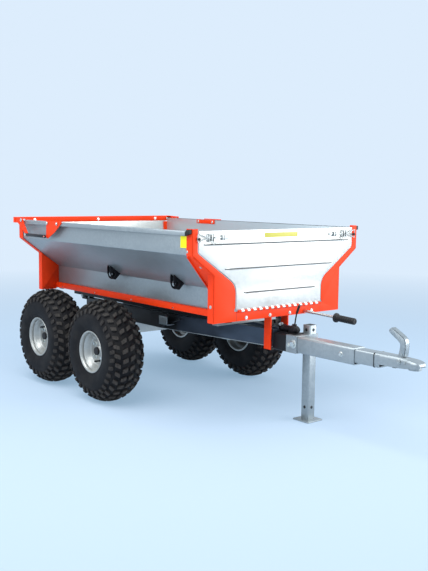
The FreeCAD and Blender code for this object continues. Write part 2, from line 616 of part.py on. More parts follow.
def ram():
    """Lay the tipping ram from the cross axle to the bed, its rod's eye held between the ram lugs."""
    middle = "ram_boss_width / 2"
    body = fuse("ram_tube_body", bar("ram_barrel", "X", ("0", "0", "0"), "ram_radius", "ram_length - ram_gland"),
                bar("ram_boss_bar", "Y", ("0", f"-{middle}", "0"), "ram_boss", "ram_boss_width"))
    hole = bore("ram_boss_hole", "Y", ("0", f"-{middle} - 1", "0"), "ram_pin_radius", "ram_boss_width + 2")
    guide = bore("ram_bore", "X", ("ram_length - ram_gland - ram_insert", "0", "0"), "ram_rod_radius",
                 "ram_insert + 1", "slide_clearance")
    stem = bar("ram_stem", "X", ("ram_length - ram_gland - ram_insert", "0", "0"), "ram_rod_radius",
               "ram_gland + ram_insert - ram_boss / 2")
    eye = bar("ram_eye", "Y", ("ram_length", "-ram_eye_width / 2", "0"), "ram_boss", "ram_eye_width")
    for name, item in (("ram_tube", cut("ram_tube", body, hole, guide)),
                       ("ram_rod", fuse("ram_rod", stem, eye))):
        tilt = "atan((ram_rise) / (ram_run))"
        place(item, ("ram_foot_x", "0", "ram_foot_z"), Rotation(Vector(0, -1, 0), number(f"{tilt} / 1deg")))
        item.setExpression("Placement.Rotation.Angle", formula(tilt))
        node(name, item)


# ---------------------------------------------------------------- body

def side_panels():
    """Fold each side sheet: upright from the floor, a slope, upright again and a lip turned out."""
    low, high = "floor_half_width", "upper_half_width"
    foot, lip = "frame_bottom + panel_foot", "panel_top - lip_drop"
    outline = [(low, foot), (low, "low_knee"), (high, "high_knee"), (high, "panel_top - sheet"),
               ("lip_outer - sheet", "panel_top - sheet"), ("lip_outer - sheet", lip),
               ("lip_outer", lip), ("lip_outer", "panel_top"), (f"{high} - sheet", "panel_top"),
               (f"{high} - sheet", "high_knee + sheet * (mitre)"),
               (f"{low} - sheet", "low_knee + sheet * (mitre)"), (f"{low} - sheet", foot)]
    sheet = prism("side_sheet", "YZ", "panel_rear", "panel_length", outline)
    front = box("lip_notch_front", ("bed_front - front_flange - 5", f"{high}", f"{lip} - 1"),
                ("front_flange + 5", "lip_width + 1", "lip_drop + 2"))
    rear = box("lip_notch_rear", ("bed_rear", f"{high}", f"{lip} - 1"),
               ("pivot_inset + 28", "lip_width + 1", "lip_drop + 2"))
    left = cut("side_left", sheet, front, rear)
    node("side_panel_left", left)
    node("side_panel_right", mirrored("side_right", left))


def floor():
    """Lay the floor sheet on its cross bars, with the ram's seat and lugs between them."""
    node("bed_floor", box("bed_floor", ("panel_rear", "-(inner_floor)", "floor_under"),
                          ("panel_length", "2 * (inner_floor)", "floor_sheet")))
    parts = []
    bars = int(number("floor_bars"))
    span = "(panel_length - 2 * bar_inset - floor_bar)"
    for turn in range(bars):
        parts.append(box(f"floor_bar_{turn}",
                         (f"panel_rear + bar_inset + {turn} * {span} / {bars - 1}", "-(inner_floor)", "frame_bottom"),
                         ("floor_bar", "2 * (inner_floor)", "floor_under - frame_bottom")))
    eye, side = "ram_boss", "ram_eye_width / 2 + ram_eye_gap"
    lug = prism("ram_lug", "XZ", side, "ram_lug",
                [(f"ram_eye_x - 2 * {eye}", "frame_bottom + ram_seat"), (f"ram_eye_x - {eye}", f"ram_eye_z - {eye}"),
                 (f"ram_eye_x + {eye}", f"ram_eye_z - {eye}"), (f"ram_eye_x + 2 * {eye}", "frame_bottom + ram_seat")])
    head = bar("ram_pin_head", "Y", ("ram_eye_x", f"{side} + ram_lug", "ram_eye_z"), "ram_pin_radius", "pin_end")
    body = fuse("ram_lug_body", lug, head)
    seat = box("ram_seat", (f"ram_eye_x - 2 * {eye}", "-(inner_floor)", "frame_bottom + ram_seat"),
               (f"4 * {eye}", "2 * (inner_floor)", "floor_under - frame_bottom - ram_seat"))
    parts.append(fuse("ram_seat_body", seat, body, mirrored("ram_lug_twin", body)))
    node("bed_cross_bars", group("bed_cross_bars", *parts))


def bearers():
    """Run two bearers under the cross bars, with the lugs that hang the bed on the tip hinge."""
    start = "bearer_offset - bearer_size / 2"
    bearer = box("bearer_bar", ("panel_rear + bearer_end", start, "bearer_bottom"),
                 ("bogie_x + bearer_reach - panel_rear", "bearer_size", "bearer_size"))
    reach = "2 * hinge_pin_radius"
    lug = prism("hinge_lug_plate", "XZ", "bearer_offset - hinge_lug", "hinge_lug",
                [(f"hinge_x - {reach} - 6", "bearer_bottom"), (f"hinge_x - {reach}", f"hinge_z - {reach}"),
                 (f"hinge_x + {reach}", f"hinge_z - {reach}"), (f"hinge_x + {reach} + 6", "bearer_bottom")])
    hole = bore("hinge_bore", "Y", ("hinge_x", f"{start} - 1", "hinge_z"), "hinge_pin_radius", "bearer_size + 2")
    node("bed_bearers", pair("bed_bearers", cut("bearer_left", fuse("bearer_body", bearer, lug), hole)))


def sills():
    """Run a red channel along the foot of each side."""
    low, wall, outer = "floor_half_width", "sill_wall", "floor_half_width + sill_width"
    foot = "floor_top - sill_height"
    outline = [(low, foot), (outer, foot), (outer, "floor_top"), (low, "floor_top"), (low, f"floor_top - {wall}"),
               (f"{outer} - {wall}", f"floor_top - {wall}"), (f"{outer} - {wall}", f"{foot} + {wall}"),
               (low, f"{foot} + {wall}")]
    node("bed_sills", pair("bed_sills", prism("sill_left", "YZ", "panel_rear", "panel_length", outline)))


def frame_outline(inset="0"):
    """List the right half of an end frame's outer edge, from the top down."""
    edge, low = f"frame_half_width - {inset}", f"frame_low_half_width - {inset}"
    drop = f"{inset} * (mitre)"
    low_knee = "frame_high_knee - (frame_half_width - frame_low_half_width) * (slope)"
    return [(edge, "bed_top"), (edge, f"frame_high_knee + {drop}"), (low, f"{low_knee} + {drop}"),
            (low, "frame_bottom")]


def mouth_outline(bottom):
    """List the right half of an end frame's opening, from its foot to its upper knee."""
    low = "mouth_low_half_width"
    return [(f"{low} + notch_width", bottom), (low, f"{bottom} + notch_height"),
            (low, "mouth_low_knee", "mouth_radius"), ("mouth_half_width", "mouth_high_knee")]


def end_frame(name, start, flange_start, flange, bottom, top):
    """Make an end frame: a plate with the body's section cut out and a flange round its edge."""
    edge = [("frame_half_width", top)] + frame_outline()[1:]
    mouth = mouth_outline(bottom) + [("mouth_half_width", top)]
    plate = prism(f"{name}_plate", "YZ", start, "frame_plate", both_halves(mouth[::-1]) + both_halves(edge)[::-1])
    rim = frame_outline() + frame_outline("frame_plate")[::-1]
    left = prism(f"{name}_flange", "YZ", flange_start, flange, rim)
    return [plate, left, mirrored(f"{name}_flange_twin", left)]


def gusset():
    """Lay the front frame's tapering gusset on the slope of the side."""
    low, high = "floor_half_width", "upper_half_width"
    under = "frame_high_knee - (frame_half_width - floor_half_width) * (slope)"
    strip = prism("gusset_strip", "YZ", "bed_front - gusset_low", "gusset_low - frame_plate",
                  [(low, "low_knee"), (low, under), ("frame_half_width", "frame_high_knee"), (high, "high_knee")])
    taper = prism("gusset_taper", "XY", "low_knee - 2 * frame_plate - slope_run", "2 * slope_run + slope_rise",
                  [("bed_front - frame_plate", low), ("bed_front - frame_plate", "frame_half_width"),
                   ("bed_front - gusset_high", "frame_half_width"), ("bed_front - gusset_low", low)])
    return common("gusset_left", strip, taper)


def rear_web():
    """Close the gap between the side's slope and the rear frame's flange, at the flange's front edge."""
    low_knee = "frame_high_knee - (frame_half_width - frame_low_half_width) * (slope)"
    sill_face = "floor_half_width + sill_width"
    outline = [(sill_face, "frame_bottom"), ("frame_low_half_width", "frame_bottom"),
               ("frame_low_half_width", low_knee), ("frame_half_width", "frame_high_knee"),
               ("upper_half_width", "high_knee"), ("floor_half_width", "low_knee"),
               ("floor_half_width", "floor_top"), (sill_face, "floor_top")]
    return prism("rear_web", "YZ", "bed_rear + rear_flange - frame_plate", "frame_plate", outline)


def end_frames():
    """Stand the red end frames at both ends of the body."""
    depth = "front_flange - frame_plate"
    pieces = end_frame("front_body", "panel_front", f"panel_front - ({depth})", depth, "strip_top", "bed_top")
    plate = gusset()
    wire = bar("gate_wire", "Y", ("gate_hinge_x", "-knuckle_count * knuckle_pitch / 2", "gate_hinge_z"),
               "hinge_wire_radius", "knuckle_count * knuckle_pitch", "wire_sides")
    pieces += [plate, mirrored("gusset_twin", plate), wire]
    tab = ("-knuckle_radius", "0", "-knuckle_radius + rest_gap", "0")
    pieces += [knuckle(f"frame_knuckle_{turn}", turn, *tab) for turn in range(0, int(number("knuckle_count")), 2)]
    peg = bar("latch_peg", "X", ("bed_front", "mouth_half_width + 2", "bed_top - latch_drop"), "peg_radius",
              "peg_length")
    pieces += [peg, mirrored("latch_peg_twin", peg)]
    node("front_frame", fuse("front_frame", *pieces))
    depth = "rear_flange - frame_plate"
    pieces = end_frame("rear_body", "bed_rear", "panel_rear", depth, "floor_top", "beam_bottom - pin_end")
    side = "upper_half_width"
    ear = prism("pivot_ear", "XZ", side, "frame_plate",
                [("panel_rear", "gate_pivot_z - 33"), ("pivot_x + 22", "gate_pivot_z - 14"),
                 ("pivot_x + 22", "bed_top"), ("panel_rear", "bed_top")])
    pin = bar("gate_pin", "Y", ("pivot_x", side, "gate_pivot_z"), "gate_pin_radius",
              f"arm_outer + pin_end - {side}")
    web = rear_web()
    pieces += [ear, mirrored("pivot_ear_twin", ear), pin, mirrored("gate_pin_twin", pin)]
    pieces += [web, mirrored("rear_web_twin", web)]
    node("rear_frame", fuse("rear_frame", *pieces))


def knuckle(name, turn, *tab):
    """Make one leaf knuckle of the front gate's hinge, on a tab (rear, front, foot, head) from its axis."""
    start = f"(-knuckle_count / 2 + {turn}) * knuckle_pitch + knuckle_gap"
    length = "knuckle_pitch - 2 * knuckle_gap"
    rear, front, foot, head = tab
    roll = bar(f"{name}_roll", "Y", ("gate_hinge_x", start, "gate_hinge_z"), "knuckle_radius - rest_gap", length,
               "wire_sides")
    leaf = box(f"{name}_leaf", (f"gate_hinge_x + {rear}", start, f"gate_hinge_z + {foot}"),
               (f"{front} - ({rear})", length, f"{head} - ({foot})"))
    return fuse(name, roll, leaf)


def front_gate():
    """Make the drop-down front gate: a creased sheet on the hinge's other knuckles."""
    high, low = "mouth_half_width - gate_gap", "mouth_low_half_width - gate_gap"
    half = [(high, "bed_top - gate_top_gap"), (high, "mouth_high_knee + gate_gap / 2"),
            (low, "mouth_low_knee + gate_gap / 2", "mouth_radius + gate_gap"),
            (low, "gate_hinge_z + knuckle_radius")]
    start = "bed_front - gate_sheet"
    pieces = [prism("gate_sheet_plate", "YZ", start, "gate_sheet", both_halves(half))]
    for turn in range(3):
        height = f"(bed_top - crease_top - {turn} * (crease_drop))"
        reach = (f"(min(mouth_half_width; mouth_low_half_width + ({height} - (mouth_low_knee)) * (mouth_slope))"
                 f" - crease_margin - {turn} * crease_step)") if turn < 2 else "(mouth_low_half_width - 56)"
        pieces.append(prism(f"gate_crease_{turn}", "XZ", f"-{reach}", f"2 * {reach}",
                            [("bed_front", f"{height} - crease_half"), ("bed_front + crease_depth", height),
                             ("bed_front", f"{height} + crease_half")]))
    count = int(number("knuckle_count"))
    tab = ("-knuckle_radius - gate_sheet", "-knuckle_radius / 3", "knuckle_radius / 3", "1.5 * knuckle_radius")
    for turn in range(1, count, 2):
        pieces.append(knuckle(f"gate_knuckle_{turn}", turn, *tab))
    hole = bore("gate_wire_bore", "Y", ("gate_hinge_x", "-knuckle_count * knuckle_pitch / 2", "gate_hinge_z"),
                "hinge_wire_radius", "knuckle_count * knuckle_pitch", "hinge_clearance", "wire_sides")
    node("front_gate", cut("front_gate", fuse("gate_body", *pieces), hole))


def latches():
    """Fit a toggle latch near each top corner of the gate, its wire bail round a peg on the frame."""
    z, outer = "bed_top - latch_drop", "mouth_half_width"
    inner = f"{outer} - latch_length - 58"
    base = box("latch_plate", ("bed_front", inner, f"{z} - 11"), ("latch_base", "latch_length", "22"))
    lever = prism("latch_lever", "XY", f"{z} - 6", "12",
                  [("bed_front + latch_base", f"{inner} - 20"), ("bed_front + latch_base", f"{inner} + latch_length - 12"),
                   ("bed_front + latch_base + 12", f"{inner} + latch_length - 24"),
                   ("bed_front + latch_base + 7", f"{inner} - 25")])
    bail = prism("latch_bail", "YZ", "bed_front + latch_base", "peg_radius",
                 rectangle(f"{outer} - 78", f"{z} - 9", f"{outer} + 10", f"{z} + 9"),
                 rectangle(f"{outer} - 73", f"{z} - 6", f"{outer} + 8", f"{z} + 6"))
    node("gate_latches", pair("gate_latches", fuse("latch_left", base, lever, bail)))


def tailgate():
    """Hang the tailgate behind the rear frame on two arms."""
    high, low = "mouth_half_width + tail_lap", "mouth_low_half_width + tail_lap"
    half = [(high, "beam_bottom"), (high, "mouth_high_knee - tail_lap / 2"),
            (low, "mouth_low_knee - tail_lap / 2", "mouth_radius - tail_lap"), (low, "frame_bottom + 8")]
    sheet = prism("tail_plate", "YZ", "tail_rear", "tail_sheet", both_halves(half))
    ribs = []
    for turn, reach in enumerate(("mouth_half_width - 38", "mouth_low_half_width + 48", "mouth_low_half_width - 2")):
        ribs.append(box(f"tail_rib_{turn}", ("tail_rear - tail_rib_depth", f"-({reach})",
                                             f"bed_top - crease_top - tail_rib - {turn} * (crease_drop)"),
                        ("tail_rib_depth", f"2 * ({reach})", "tail_rib")))
    node("tailgate", fuse("tailgate", sheet, *ribs))
    node("tailgate_beam", box("tailgate_beam", ("rear_end", "-(arm_offset)", "beam_bottom"),
                              ("tail_front - rear_end", "2 * (arm_offset)", "tail_beam_height")))
    foot = "strut_eye"
    outline = [("rear_end", "beam_bottom"), ("rear_end + 60", "beam_bottom"),
               (f"strut_arm_x - 1.5 * {foot}", f"strut_arm_z - {foot} / 2"), ("strut_arm_x", f"strut_arm_z - 1.5 * {foot}"),
               (f"strut_arm_x + 1.5 * {foot}", "strut_arm_z"), ("pivot_x + 20", "gate_pivot_z - 8"),
               ("pivot_x + 18", "beam_top - frame_plate"), ("rear_end", "beam_top")]
    plate = prism("arm_left", "XZ", "arm_offset", "arm_plate", outline)
    hole = bore("arm_hole", "Y", ("pivot_x", "arm_offset - 1", "gate_pivot_z"), "gate_pin_radius", "arm_plate + 2")
    stud = bar("arm_stud", "Y", ("strut_arm_x", "arm_offset", "strut_arm_z"), "strut_pin_radius",
               "strut_offset - strut_rod_radius - rest_gap - (arm_offset)")
    node("tailgate_arms", pair("tailgate_arms", fuse("arm_left_body", cut("arm_holed", plate, hole), stud)))


def strut_plate(name, rear, length):
    """Make the flat eye plate at one end of a strut."""
    return box(name, (rear, "-strut_eye_width / 2", "-strut_eye"), (length, "strut_eye_width", "2 * strut_eye"))


def struts():
    """Fit a closer strut on each side, from the side bracket to the end of the tailgate arm's stud."""
    length, eye = "strut_span", "strut_eye"
    for word, hand in (("left", 1), ("right", -1)):
        foot = strut_plate(f"strut_foot_{word}", f"-2 * {eye}", f"3 * {eye}")
        foot_hole = bore(f"strut_foot_hole_{word}", "Y", ("0", "-strut_eye_width", "0"), "strut_pin_radius",
                         "2 * strut_eye_width")
        barrel = bar(f"strut_barrel_{word}", "X", (f"2 * {eye} - {length}", "0", "0"), "strut_radius",
                     f"{length} - 4 * {eye}")
        guide = bore(f"strut_guide_{word}", "X", (f"-{length}", "0", "0"), "strut_rod_radius",
                     f"{length} - 3 * {eye}", "slide_clearance")
        tube = cut(f"strut_tube_{word}", fuse(f"strut_tube_body_{word}", barrel, foot), foot_hole, guide)
        stem = bar(f"strut_stem_{word}", "X", (f"-{length}", "0", "0"), "strut_rod_radius", f"{length} - 5 * {eye}")
        thin = fuse(f"strut_rod_{word}", stem, strut_plate(f"strut_head_{word}", f"-{length} - {eye}", f"2 * {eye}"))
        for name, item in ((f"strut_tube_{word}", tube), (f"strut_rod_{word}", thin)):
            place(item, ("strut_foot_x", f"{hand} * (strut_offset)", "strut_arm_z"))
            node(name, item)


def brackets():
    """Add the red strut brackets and the reflectors to the sides."""
    x, z, end = "strut_foot_x", "strut_arm_z", "strut_foot_x + bracket_length"
    outline = [(f"{x} - 6", "panel_top + 5"), (end, "panel_top + 5"), (end, "panel_top - 6"),
               (f"{x} + 92", f"{z} + 28"), (f"{x} + 8", f"{z} - 12"), (f"{x} - 10", f"{z} - 6")]
    plate = prism("bracket_left", "XZ", "lip_outer", "bracket_plate", outline)
    stud = bar("bracket_stud", "Y", (x, "lip_outer", z), "strut_pin_radius", "strut_end - lip_outer")
    node("strut_brackets", pair("strut_brackets", fuse("bracket_left_body", plate, stud)))
    lens = box("reflector_left", ("bed_front - front_flange - reflector_length", "upper_half_width",
                                  "bed_top - reflector_drop - reflector_height"),
               ("reflector_length", "reflector_depth", "reflector_height"))
    node("reflectors", pair("reflectors", lens))


def on_slope(along, out):
    """Find a point by its shares of a lug's length, up the side's slope, and of its height."""
    run, rise = "(slope_run) / (slope_length)", "(slope_rise) / (slope_length)"
    reach, height = f"(ear_start + {along} * ear_length)", f"{out} * ear_height"
    return (f"floor_half_width + {reach} * {run} + {height} * {rise}",
            f"low_knee + {reach} * {rise} - {height} * {run}")


def tie_down_lugs():
    """Stand the black tie-down lugs on the slopes, two ears each with a slot for the strap."""
    outline = [on_slope(*spot) for spot in ((0, 0), (0.07, 0.85), (0.37, 1), (0.71, 0.67), (0.95, 0.19), (1, 0))]
    slot = [on_slope(*spot) for spot in ((0.27, 0.41), (0.29, 0.7), (0.39, 0.78), (0.59, 0.59), (0.61, 0.33), (0.49, 0.26))]
    ears = []
    for turn, start in enumerate(("ear_rear", "ear_rear + ear_pitch")):
        for side, shift in enumerate(("0", "ear_spacing")):
            ears.append(prism(f"lug_ear_{turn}_{side}", "YZ", f"bed_rear + {start} + {shift}", "ear_thickness",
                              outline, slot))
    node("tie_down_lugs", pair("tie_down_lugs", group("lugs_left", *ears)))


def front_fittings():
    """Hang the guide bars under the front frame and fit the tipping handle."""
    guide = box("guide_bar", ("bed_front - guide_length", "apex_half_width + guide_gap", "rail_bottom - guide_drop"),
                ("guide_length", "guide_thickness", "frame_bottom - rail_bottom + guide_drop"))
    node("guide_bars", pair("guide_bars", guide))
    turn = Rotation(Vector(0, 1, 0), 90 + SIZES["tip_tilt"])
    height = "frame_bottom + tip_rise"
    shaft = bar("tip_shaft", "X", ("bed_front", "tip_offset", height), "tip_radius", "tip_reach")
    grip_start = ("bed_front + tip_reach * cos(tip_tilt)", "tip_offset", f"{height} - tip_reach * sin(tip_tilt)")
    grip = bar("grip_bar", "X", grip_start, "grip_radius", "grip_length")
    collar = bar("tip_collar", "X", grip_start, "grip_flange", "sleeve_wall")
    for item in (shaft, grip, collar):
        item.Placement = Placement(item.Placement.Base, turn)
        item.setExpression("Placement.Rotation.Angle", formula("(90 + tip_tilt) * 1deg"))
    trim = box("tip_trim", ("bed_front - 2 * tip_radius", "tip_offset - 2 * tip_radius", f"{height} - 2 * tip_radius"),
               ("2 * tip_radius", "4 * tip_radius", "4 * tip_radius"))
    node("handle_rod", cut("handle_rod", shaft, trim))
    node("handle_grip", fuse("handle_grip", grip, collar))


# ---------------------------------------------------------------- build and write

def check_and_write():
    """Stop on any failed object or bad shape, then write one STEP file for each sub-part."""
    DOC.recompute()
    for item in DOC.Objects:
        if {"Invalid", "Error"} & set(item.State):
            raise RuntimeError(f"{item.Name} failed: {item.State}")
    for item in NODES:
        if item.Shape.isNull() or not item.Shape.isValid():
            raise RuntimeError(f"{item.Label} has a bad shape")
    os.makedirs("parts", exist_ok=True)
    for item in NODES:
        item.Shape.exportStep(f"parts/{item.Label}.step")
        print(f"{item.Label}: {len(item.Shape.Solids)} solids, {item.Shape.Volume / 1e6:.2f} litres")


def main():
    """Build the trailer."""
    fill_sheet()
    for build in (wheels, walking_beams, rails, axle_carrier, cross_members, drawbar, coupler, jack,
                  hand_pump, ram, side_panels, floor, bearers, sills, end_frames, front_gate, latches,
                  tailgate, struts, brackets, tie_down_lugs, front_fittings):
        build()
    check_and_write()


if __name__ == "__main__":
    main()
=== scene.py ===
"""ATV dump trailer: the finishes and fine shapes of a tandem-axle off-road tipping trailer.

X runs forward to the coupler, Y to the left and Z up, in metres.  Every new piece is a stack of
rings: a closed outline, a lathe profile or a tube's section, worked out with numpy on a grid.
"""
import json
import math

import bmesh
import bpy
import numpy as np
from mathutils import Matrix, Vector


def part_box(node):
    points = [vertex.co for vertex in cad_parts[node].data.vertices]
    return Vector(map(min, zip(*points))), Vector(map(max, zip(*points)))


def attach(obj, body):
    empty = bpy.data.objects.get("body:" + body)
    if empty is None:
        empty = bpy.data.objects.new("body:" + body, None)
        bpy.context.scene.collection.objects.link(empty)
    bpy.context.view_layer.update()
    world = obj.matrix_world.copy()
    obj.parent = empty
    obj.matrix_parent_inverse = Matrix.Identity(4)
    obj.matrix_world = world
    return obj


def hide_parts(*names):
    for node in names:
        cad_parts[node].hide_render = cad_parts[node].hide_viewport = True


bl_info = {
    "name": "ATV Dump Trailer",
    "version": (1, 0, 0),
    "blender": (4, 5, 0),
    "location": "3D View > Sidebar > Trailer",
    "description": "Builds the tyres, rims, painted frames and galvanised body of an ATV dump trailer",
    "category": "Add Mesh",
}

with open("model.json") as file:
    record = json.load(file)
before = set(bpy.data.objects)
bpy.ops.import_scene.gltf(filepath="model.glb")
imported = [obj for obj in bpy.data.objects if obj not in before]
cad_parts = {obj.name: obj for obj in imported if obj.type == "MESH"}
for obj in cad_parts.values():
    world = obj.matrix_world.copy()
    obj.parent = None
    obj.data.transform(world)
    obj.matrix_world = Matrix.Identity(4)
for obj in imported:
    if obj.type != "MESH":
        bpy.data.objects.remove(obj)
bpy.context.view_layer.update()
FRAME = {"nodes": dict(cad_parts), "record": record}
SLOT_OF = {row["node"]: row["material_slot"] for row in FRAME["record"]["subparts"]}
MM = 0.001


def low(node):
    """Give the lowest corner of a CAD node, in metres."""
    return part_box(node)[0]


def high(node):
    """Give the highest corner of a CAD node, in metres."""
    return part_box(node)[1]


def mm(values):
    """Turn a number, a point or a list of points from millimetres into metres."""
    return np.array(values, float) * MM


# The body's cross-section and its ends, shared by the panels, frames and gates.
SHEET = 2.5 * MM
PLATE = 4 * MM
BED_REAR = low("bed_floor").x - PLATE
BED_FRONT = high("bed_floor").x + PLATE
FLOOR_TOP = high("bed_floor").z
BED_TOP = high("tailgate_arms").z - PLATE
BED_FOOT = FLOOR_TOP - 43 * MM
LOW_HALF, HIGH_HALF = 322 * MM, 567 * MM
LOW_KNEE, HIGH_KNEE = FLOOR_TOP + 104 * MM, FLOOR_TOP + 287 * MM
# The right side's slope between its knees: its length, and its run and outward normal as (across, up).
SLOPE_SPAN = math.hypot(HIGH_HALF - LOW_HALF, HIGH_KNEE - LOW_KNEE)
SLOPE_RUN = np.array([LOW_HALF - HIGH_HALF, HIGH_KNEE - LOW_KNEE]) / SLOPE_SPAN
SLOPE_OUT = np.array([-SLOPE_RUN[1], SLOPE_RUN[0]])
# How far a knee drops for each metre that a plate lies further out.
MITRE = (SLOPE_SPAN - (HIGH_HALF - LOW_HALF)) / (HIGH_KNEE - LOW_KNEE)
FRAME_HALF, FRAME_LOW_HALF = HIGH_HALF + PLATE, 440 * MM
FRAME_HIGH_KNEE = HIGH_KNEE - MITRE * PLATE
FRAME_LOW_KNEE = FRAME_HIGH_KNEE + (FRAME_HALF - FRAME_LOW_HALF) * SLOPE_RUN[1] / SLOPE_RUN[0]
MOUTH_HALF, MOUTH_LOW_HALF = 538 * MM, 302 * MM
MOUTH_HIGH_KNEE, MOUTH_LOW_KNEE = HIGH_KNEE + 10 * MM, LOW_KNEE + 30 * MM
MOUTH_RADIUS = 76 * MM
GUSSET = PLATE + 1.2 * MM
FLANGE_DEPTH, GATE_SHEET = 45 * MM, 3 * MM
# The front gate's foot hinge: its axis as (X, Z), and the pitch and half length of its knuckles.
GATE_AXIS = (BED_FRONT + 6 * MM, FLOOR_TOP + 7 * MM)
KNUCKLE_PITCH, KNUCKLE_HALF = 40 * MM, 9.6 * MM


# ---------------------------------------------------------------- colours and node helper

def linear(code):
    """Turn an sRGB hex colour into linear red, green and blue."""
    part = np.array([int(code[i:i + 2], 16) for i in (1, 3, 5)]) / 255
    return tuple(np.where(part <= 0.04045, part / 12.92, ((part + 0.055) / 1.055) ** 2.4))


def colour(code, label, note):
    """Make a colour property with an sRGB default."""
    return bpy.props.FloatVectorProperty(name=label, description=note, subtype="COLOR", size=3, min=0, max=1,
                                         default=linear(code))


def length(mm, label, note):
    """Make a length property with a default in millimetres."""
    return bpy.props.FloatProperty(name=label, description=note, default=mm * MM, min=0, unit="LENGTH",
                                   subtype="DISTANCE", precision=4)


class TrailerColours(bpy.types.PropertyGroup):
    """Colours of the trailer's finishes."""
    rubber: colour("#121215", "Rubber", "Side and grooves of the tyres")
    worn_rubber: colour("#413E3B", "Worn rubber", "Scuffed tops of the tread lugs")
    rim: colour("#A6A8A5", "Rim enamel", "Silver enamel of the rims")
    galvanised: colour("#98A1A5", "Galvanised sheet", "Dull zinc of the sides and drawbar")
    bright_sheet: colour("#D2D2CD", "Bright sheet", "Fresh zinc of the two gates")
    # The rail colour's dark blue-grey is painted shade from the bed above the rails.
    rail_painted_shade: colour("#3D4754", "Rail steel", "Weathered zinc of the underframe's rails")
    zinc_plate: colour("#D2D6D6", "Zinc plate", "Plated coupler and bolts")
    steel: colour("#B4BABA", "Passivated steel", "Latches and the gate's pressed creases")
    red: colour("#E83A0C", "Red powder coat", "End frames, sills and brackets")
    black: colour("#17181B", "Black powder coat", "Tie-down lugs, sleeve, pump and bearers")
    plastic: colour("#121214", "Black rubber grip", "Grips and valve caps")
    reflector: colour("#EFE800", "Reflector", "Side reflectors")
    label: colour("#B9B23C", "Label", "Blank label on the front gate")
    floor: colour("#DBE6F5", "Floor", "Studio floor")
    backdrop: colour("#DDEDFD", "Backdrop", "Backdrop behind the floor")
    floor_tint: colour("#A5C9E6", "Floor tint", "Blue that the floor shows to the camera")


class TrailerSizes(bpy.types.PropertyGroup):
    """Sizes of the trailer's fine shapes."""
    edge: length(0.8, "Edge", "Radius that breaks the edges of plates and bars")
    fold: length(5, "Fold", "Outer radius of a fold in the sheet")
    corner: length(9, "Tube corner", "Outer corner radius of the square tubes")
    lug_pitch: length(54, "Lug pitch", "Spacing of the tread lugs round the tyre")
    lug_height: length(13, "Lug height", "Height of the tread lugs")
    spangle: length(11, "Spangle", "Width of the zinc crystals on galvanised steel")


def plug(tree, value, socket):
    """Give a socket a value, or link it from another socket."""
    if isinstance(value, bpy.types.NodeSocket):
        tree.links.new(value, socket)
    else:
        socket.default_value = value


def add(tree, kind, inputs=None, **settings):
    """Add a shader node with its settings; an input is a value, or a socket to link from."""
    node = tree.nodes.new("ShaderNode" + kind)
    for name, value in settings.items():
        setattr(node, name, value)
    for name, value in (inputs or {}).items():
        plug(tree, value, node.inputs[name])
    return node


def new_material(name):
    """Start a material: give it, its tree, its principled shader and the object coordinates."""
    material = bpy.data.materials.new(name)
    material.use_nodes = True
    tree = material.node_tree
    tree.nodes.clear()
    shader = add(tree, "BsdfPrincipled")
    add(tree, "OutputMaterial", {"Surface": shader.outputs[0]})
    place = add(tree, "TexCoord").outputs["Object"]
    return material, tree, shader, place


def tune(tree, shader, **values):
    """Set or link the shader's own sockets; underscores stand for spaces."""
    for name, value in values.items():
        plug(tree, value, shader.inputs[name.replace("_", " ")])


def rgba(colour_value, share=1.0):
    """Scale a colour by a share and add the alpha."""
    return tuple(min(1.0, part * share) for part in colour_value[:3]) + (1.0,)


def combine(tree, operation, first, second):
    """Give the product, the larger or the like of two values."""
    return add(tree, "Math", {0: first, 1: second}, operation=operation).outputs[0]


def spread(tree, value, start, end, low_value, high_value):
    """Map a value from one range onto another, held at both ends."""
    return add(tree, "MapRange", {"Value": value, "From Min": start, "From Max": end, "To Min": low_value,
                                  "To Max": high_value}).outputs[0]


def mixed(tree, factor, first, second):
    """Mix two colours by a factor."""
    return add(tree, "Mix", {0: factor, 6: first, 7: second}, data_type="RGBA").outputs[2]


def noise(tree, place, size, detail=3.0, stretch=(1, 1, 1)):
    """Give noise whose blotches are about size metres wide."""
    mapped = add(tree, "Mapping", {"Vector": place, "Scale": stretch}).outputs[0]
    return add(tree, "TexNoise", {"Vector": mapped, "Scale": 1 / size, "Detail": detail}).outputs[0]


def grain(tree, shader, place, size, depth, strength):
    """Raise the surface by fine noise: grains about size metres wide and depth metres high."""
    height = noise(tree, place, size, 2)
    raised = add(tree, "Bump", {"Height": height, "Distance": depth, "Strength": strength})
    tune(tree, shader, Normal=raised.outputs[0])


# ---------------------------------------------------------------- materials

def clouded(name, size, held, most, tones, roughness, detail=3.0, **values):
    """Start a finish whose colour and roughness drift between two values in soft clouds."""
    material, tree, shader, place = new_material(name)
    cloud = spread(tree, noise(tree, place, size, detail), *held, 0.0, most)
    tune(tree, shader, Base_Color=mixed(tree, cloud, *tones),
         Roughness=spread(tree, cloud, 0, most, *roughness), **values)
    return material, tree, shader, place


def rubber_tyre(colours):
    """Vulcanised rubber, moulded: matte black, its lug tops scuffed brown-grey by gravel."""
    material, tree, shader, place = new_material("vulcanised_rubber")
    wear = add(tree, "Attribute", attribute_name="wear").outputs["Fac"]
    blotch = spread(tree, noise(tree, place, 9 * MM, 4), 0.3, 0.7, 0.45, 1.0)
    dust = mixed(tree, spread(tree, noise(tree, place, 60 * MM), 0.4, 0.7, 0.0, 0.35),
                 rgba(colours.rubber), rgba(colours.worn_rubber, 0.55))
    base = mixed(tree, combine(tree, "MULTIPLY", wear, blotch), dust, rgba(colours.worn_rubber))
    tune(tree, shader, Base_Color=base, Roughness=spread(tree, wear, 0, 1, 0.62, 0.9),
         Specular_IOR_Level=0.14)
    grain(tree, shader, place, 3 * MM, 0.4 * MM, 0.5)
    return material


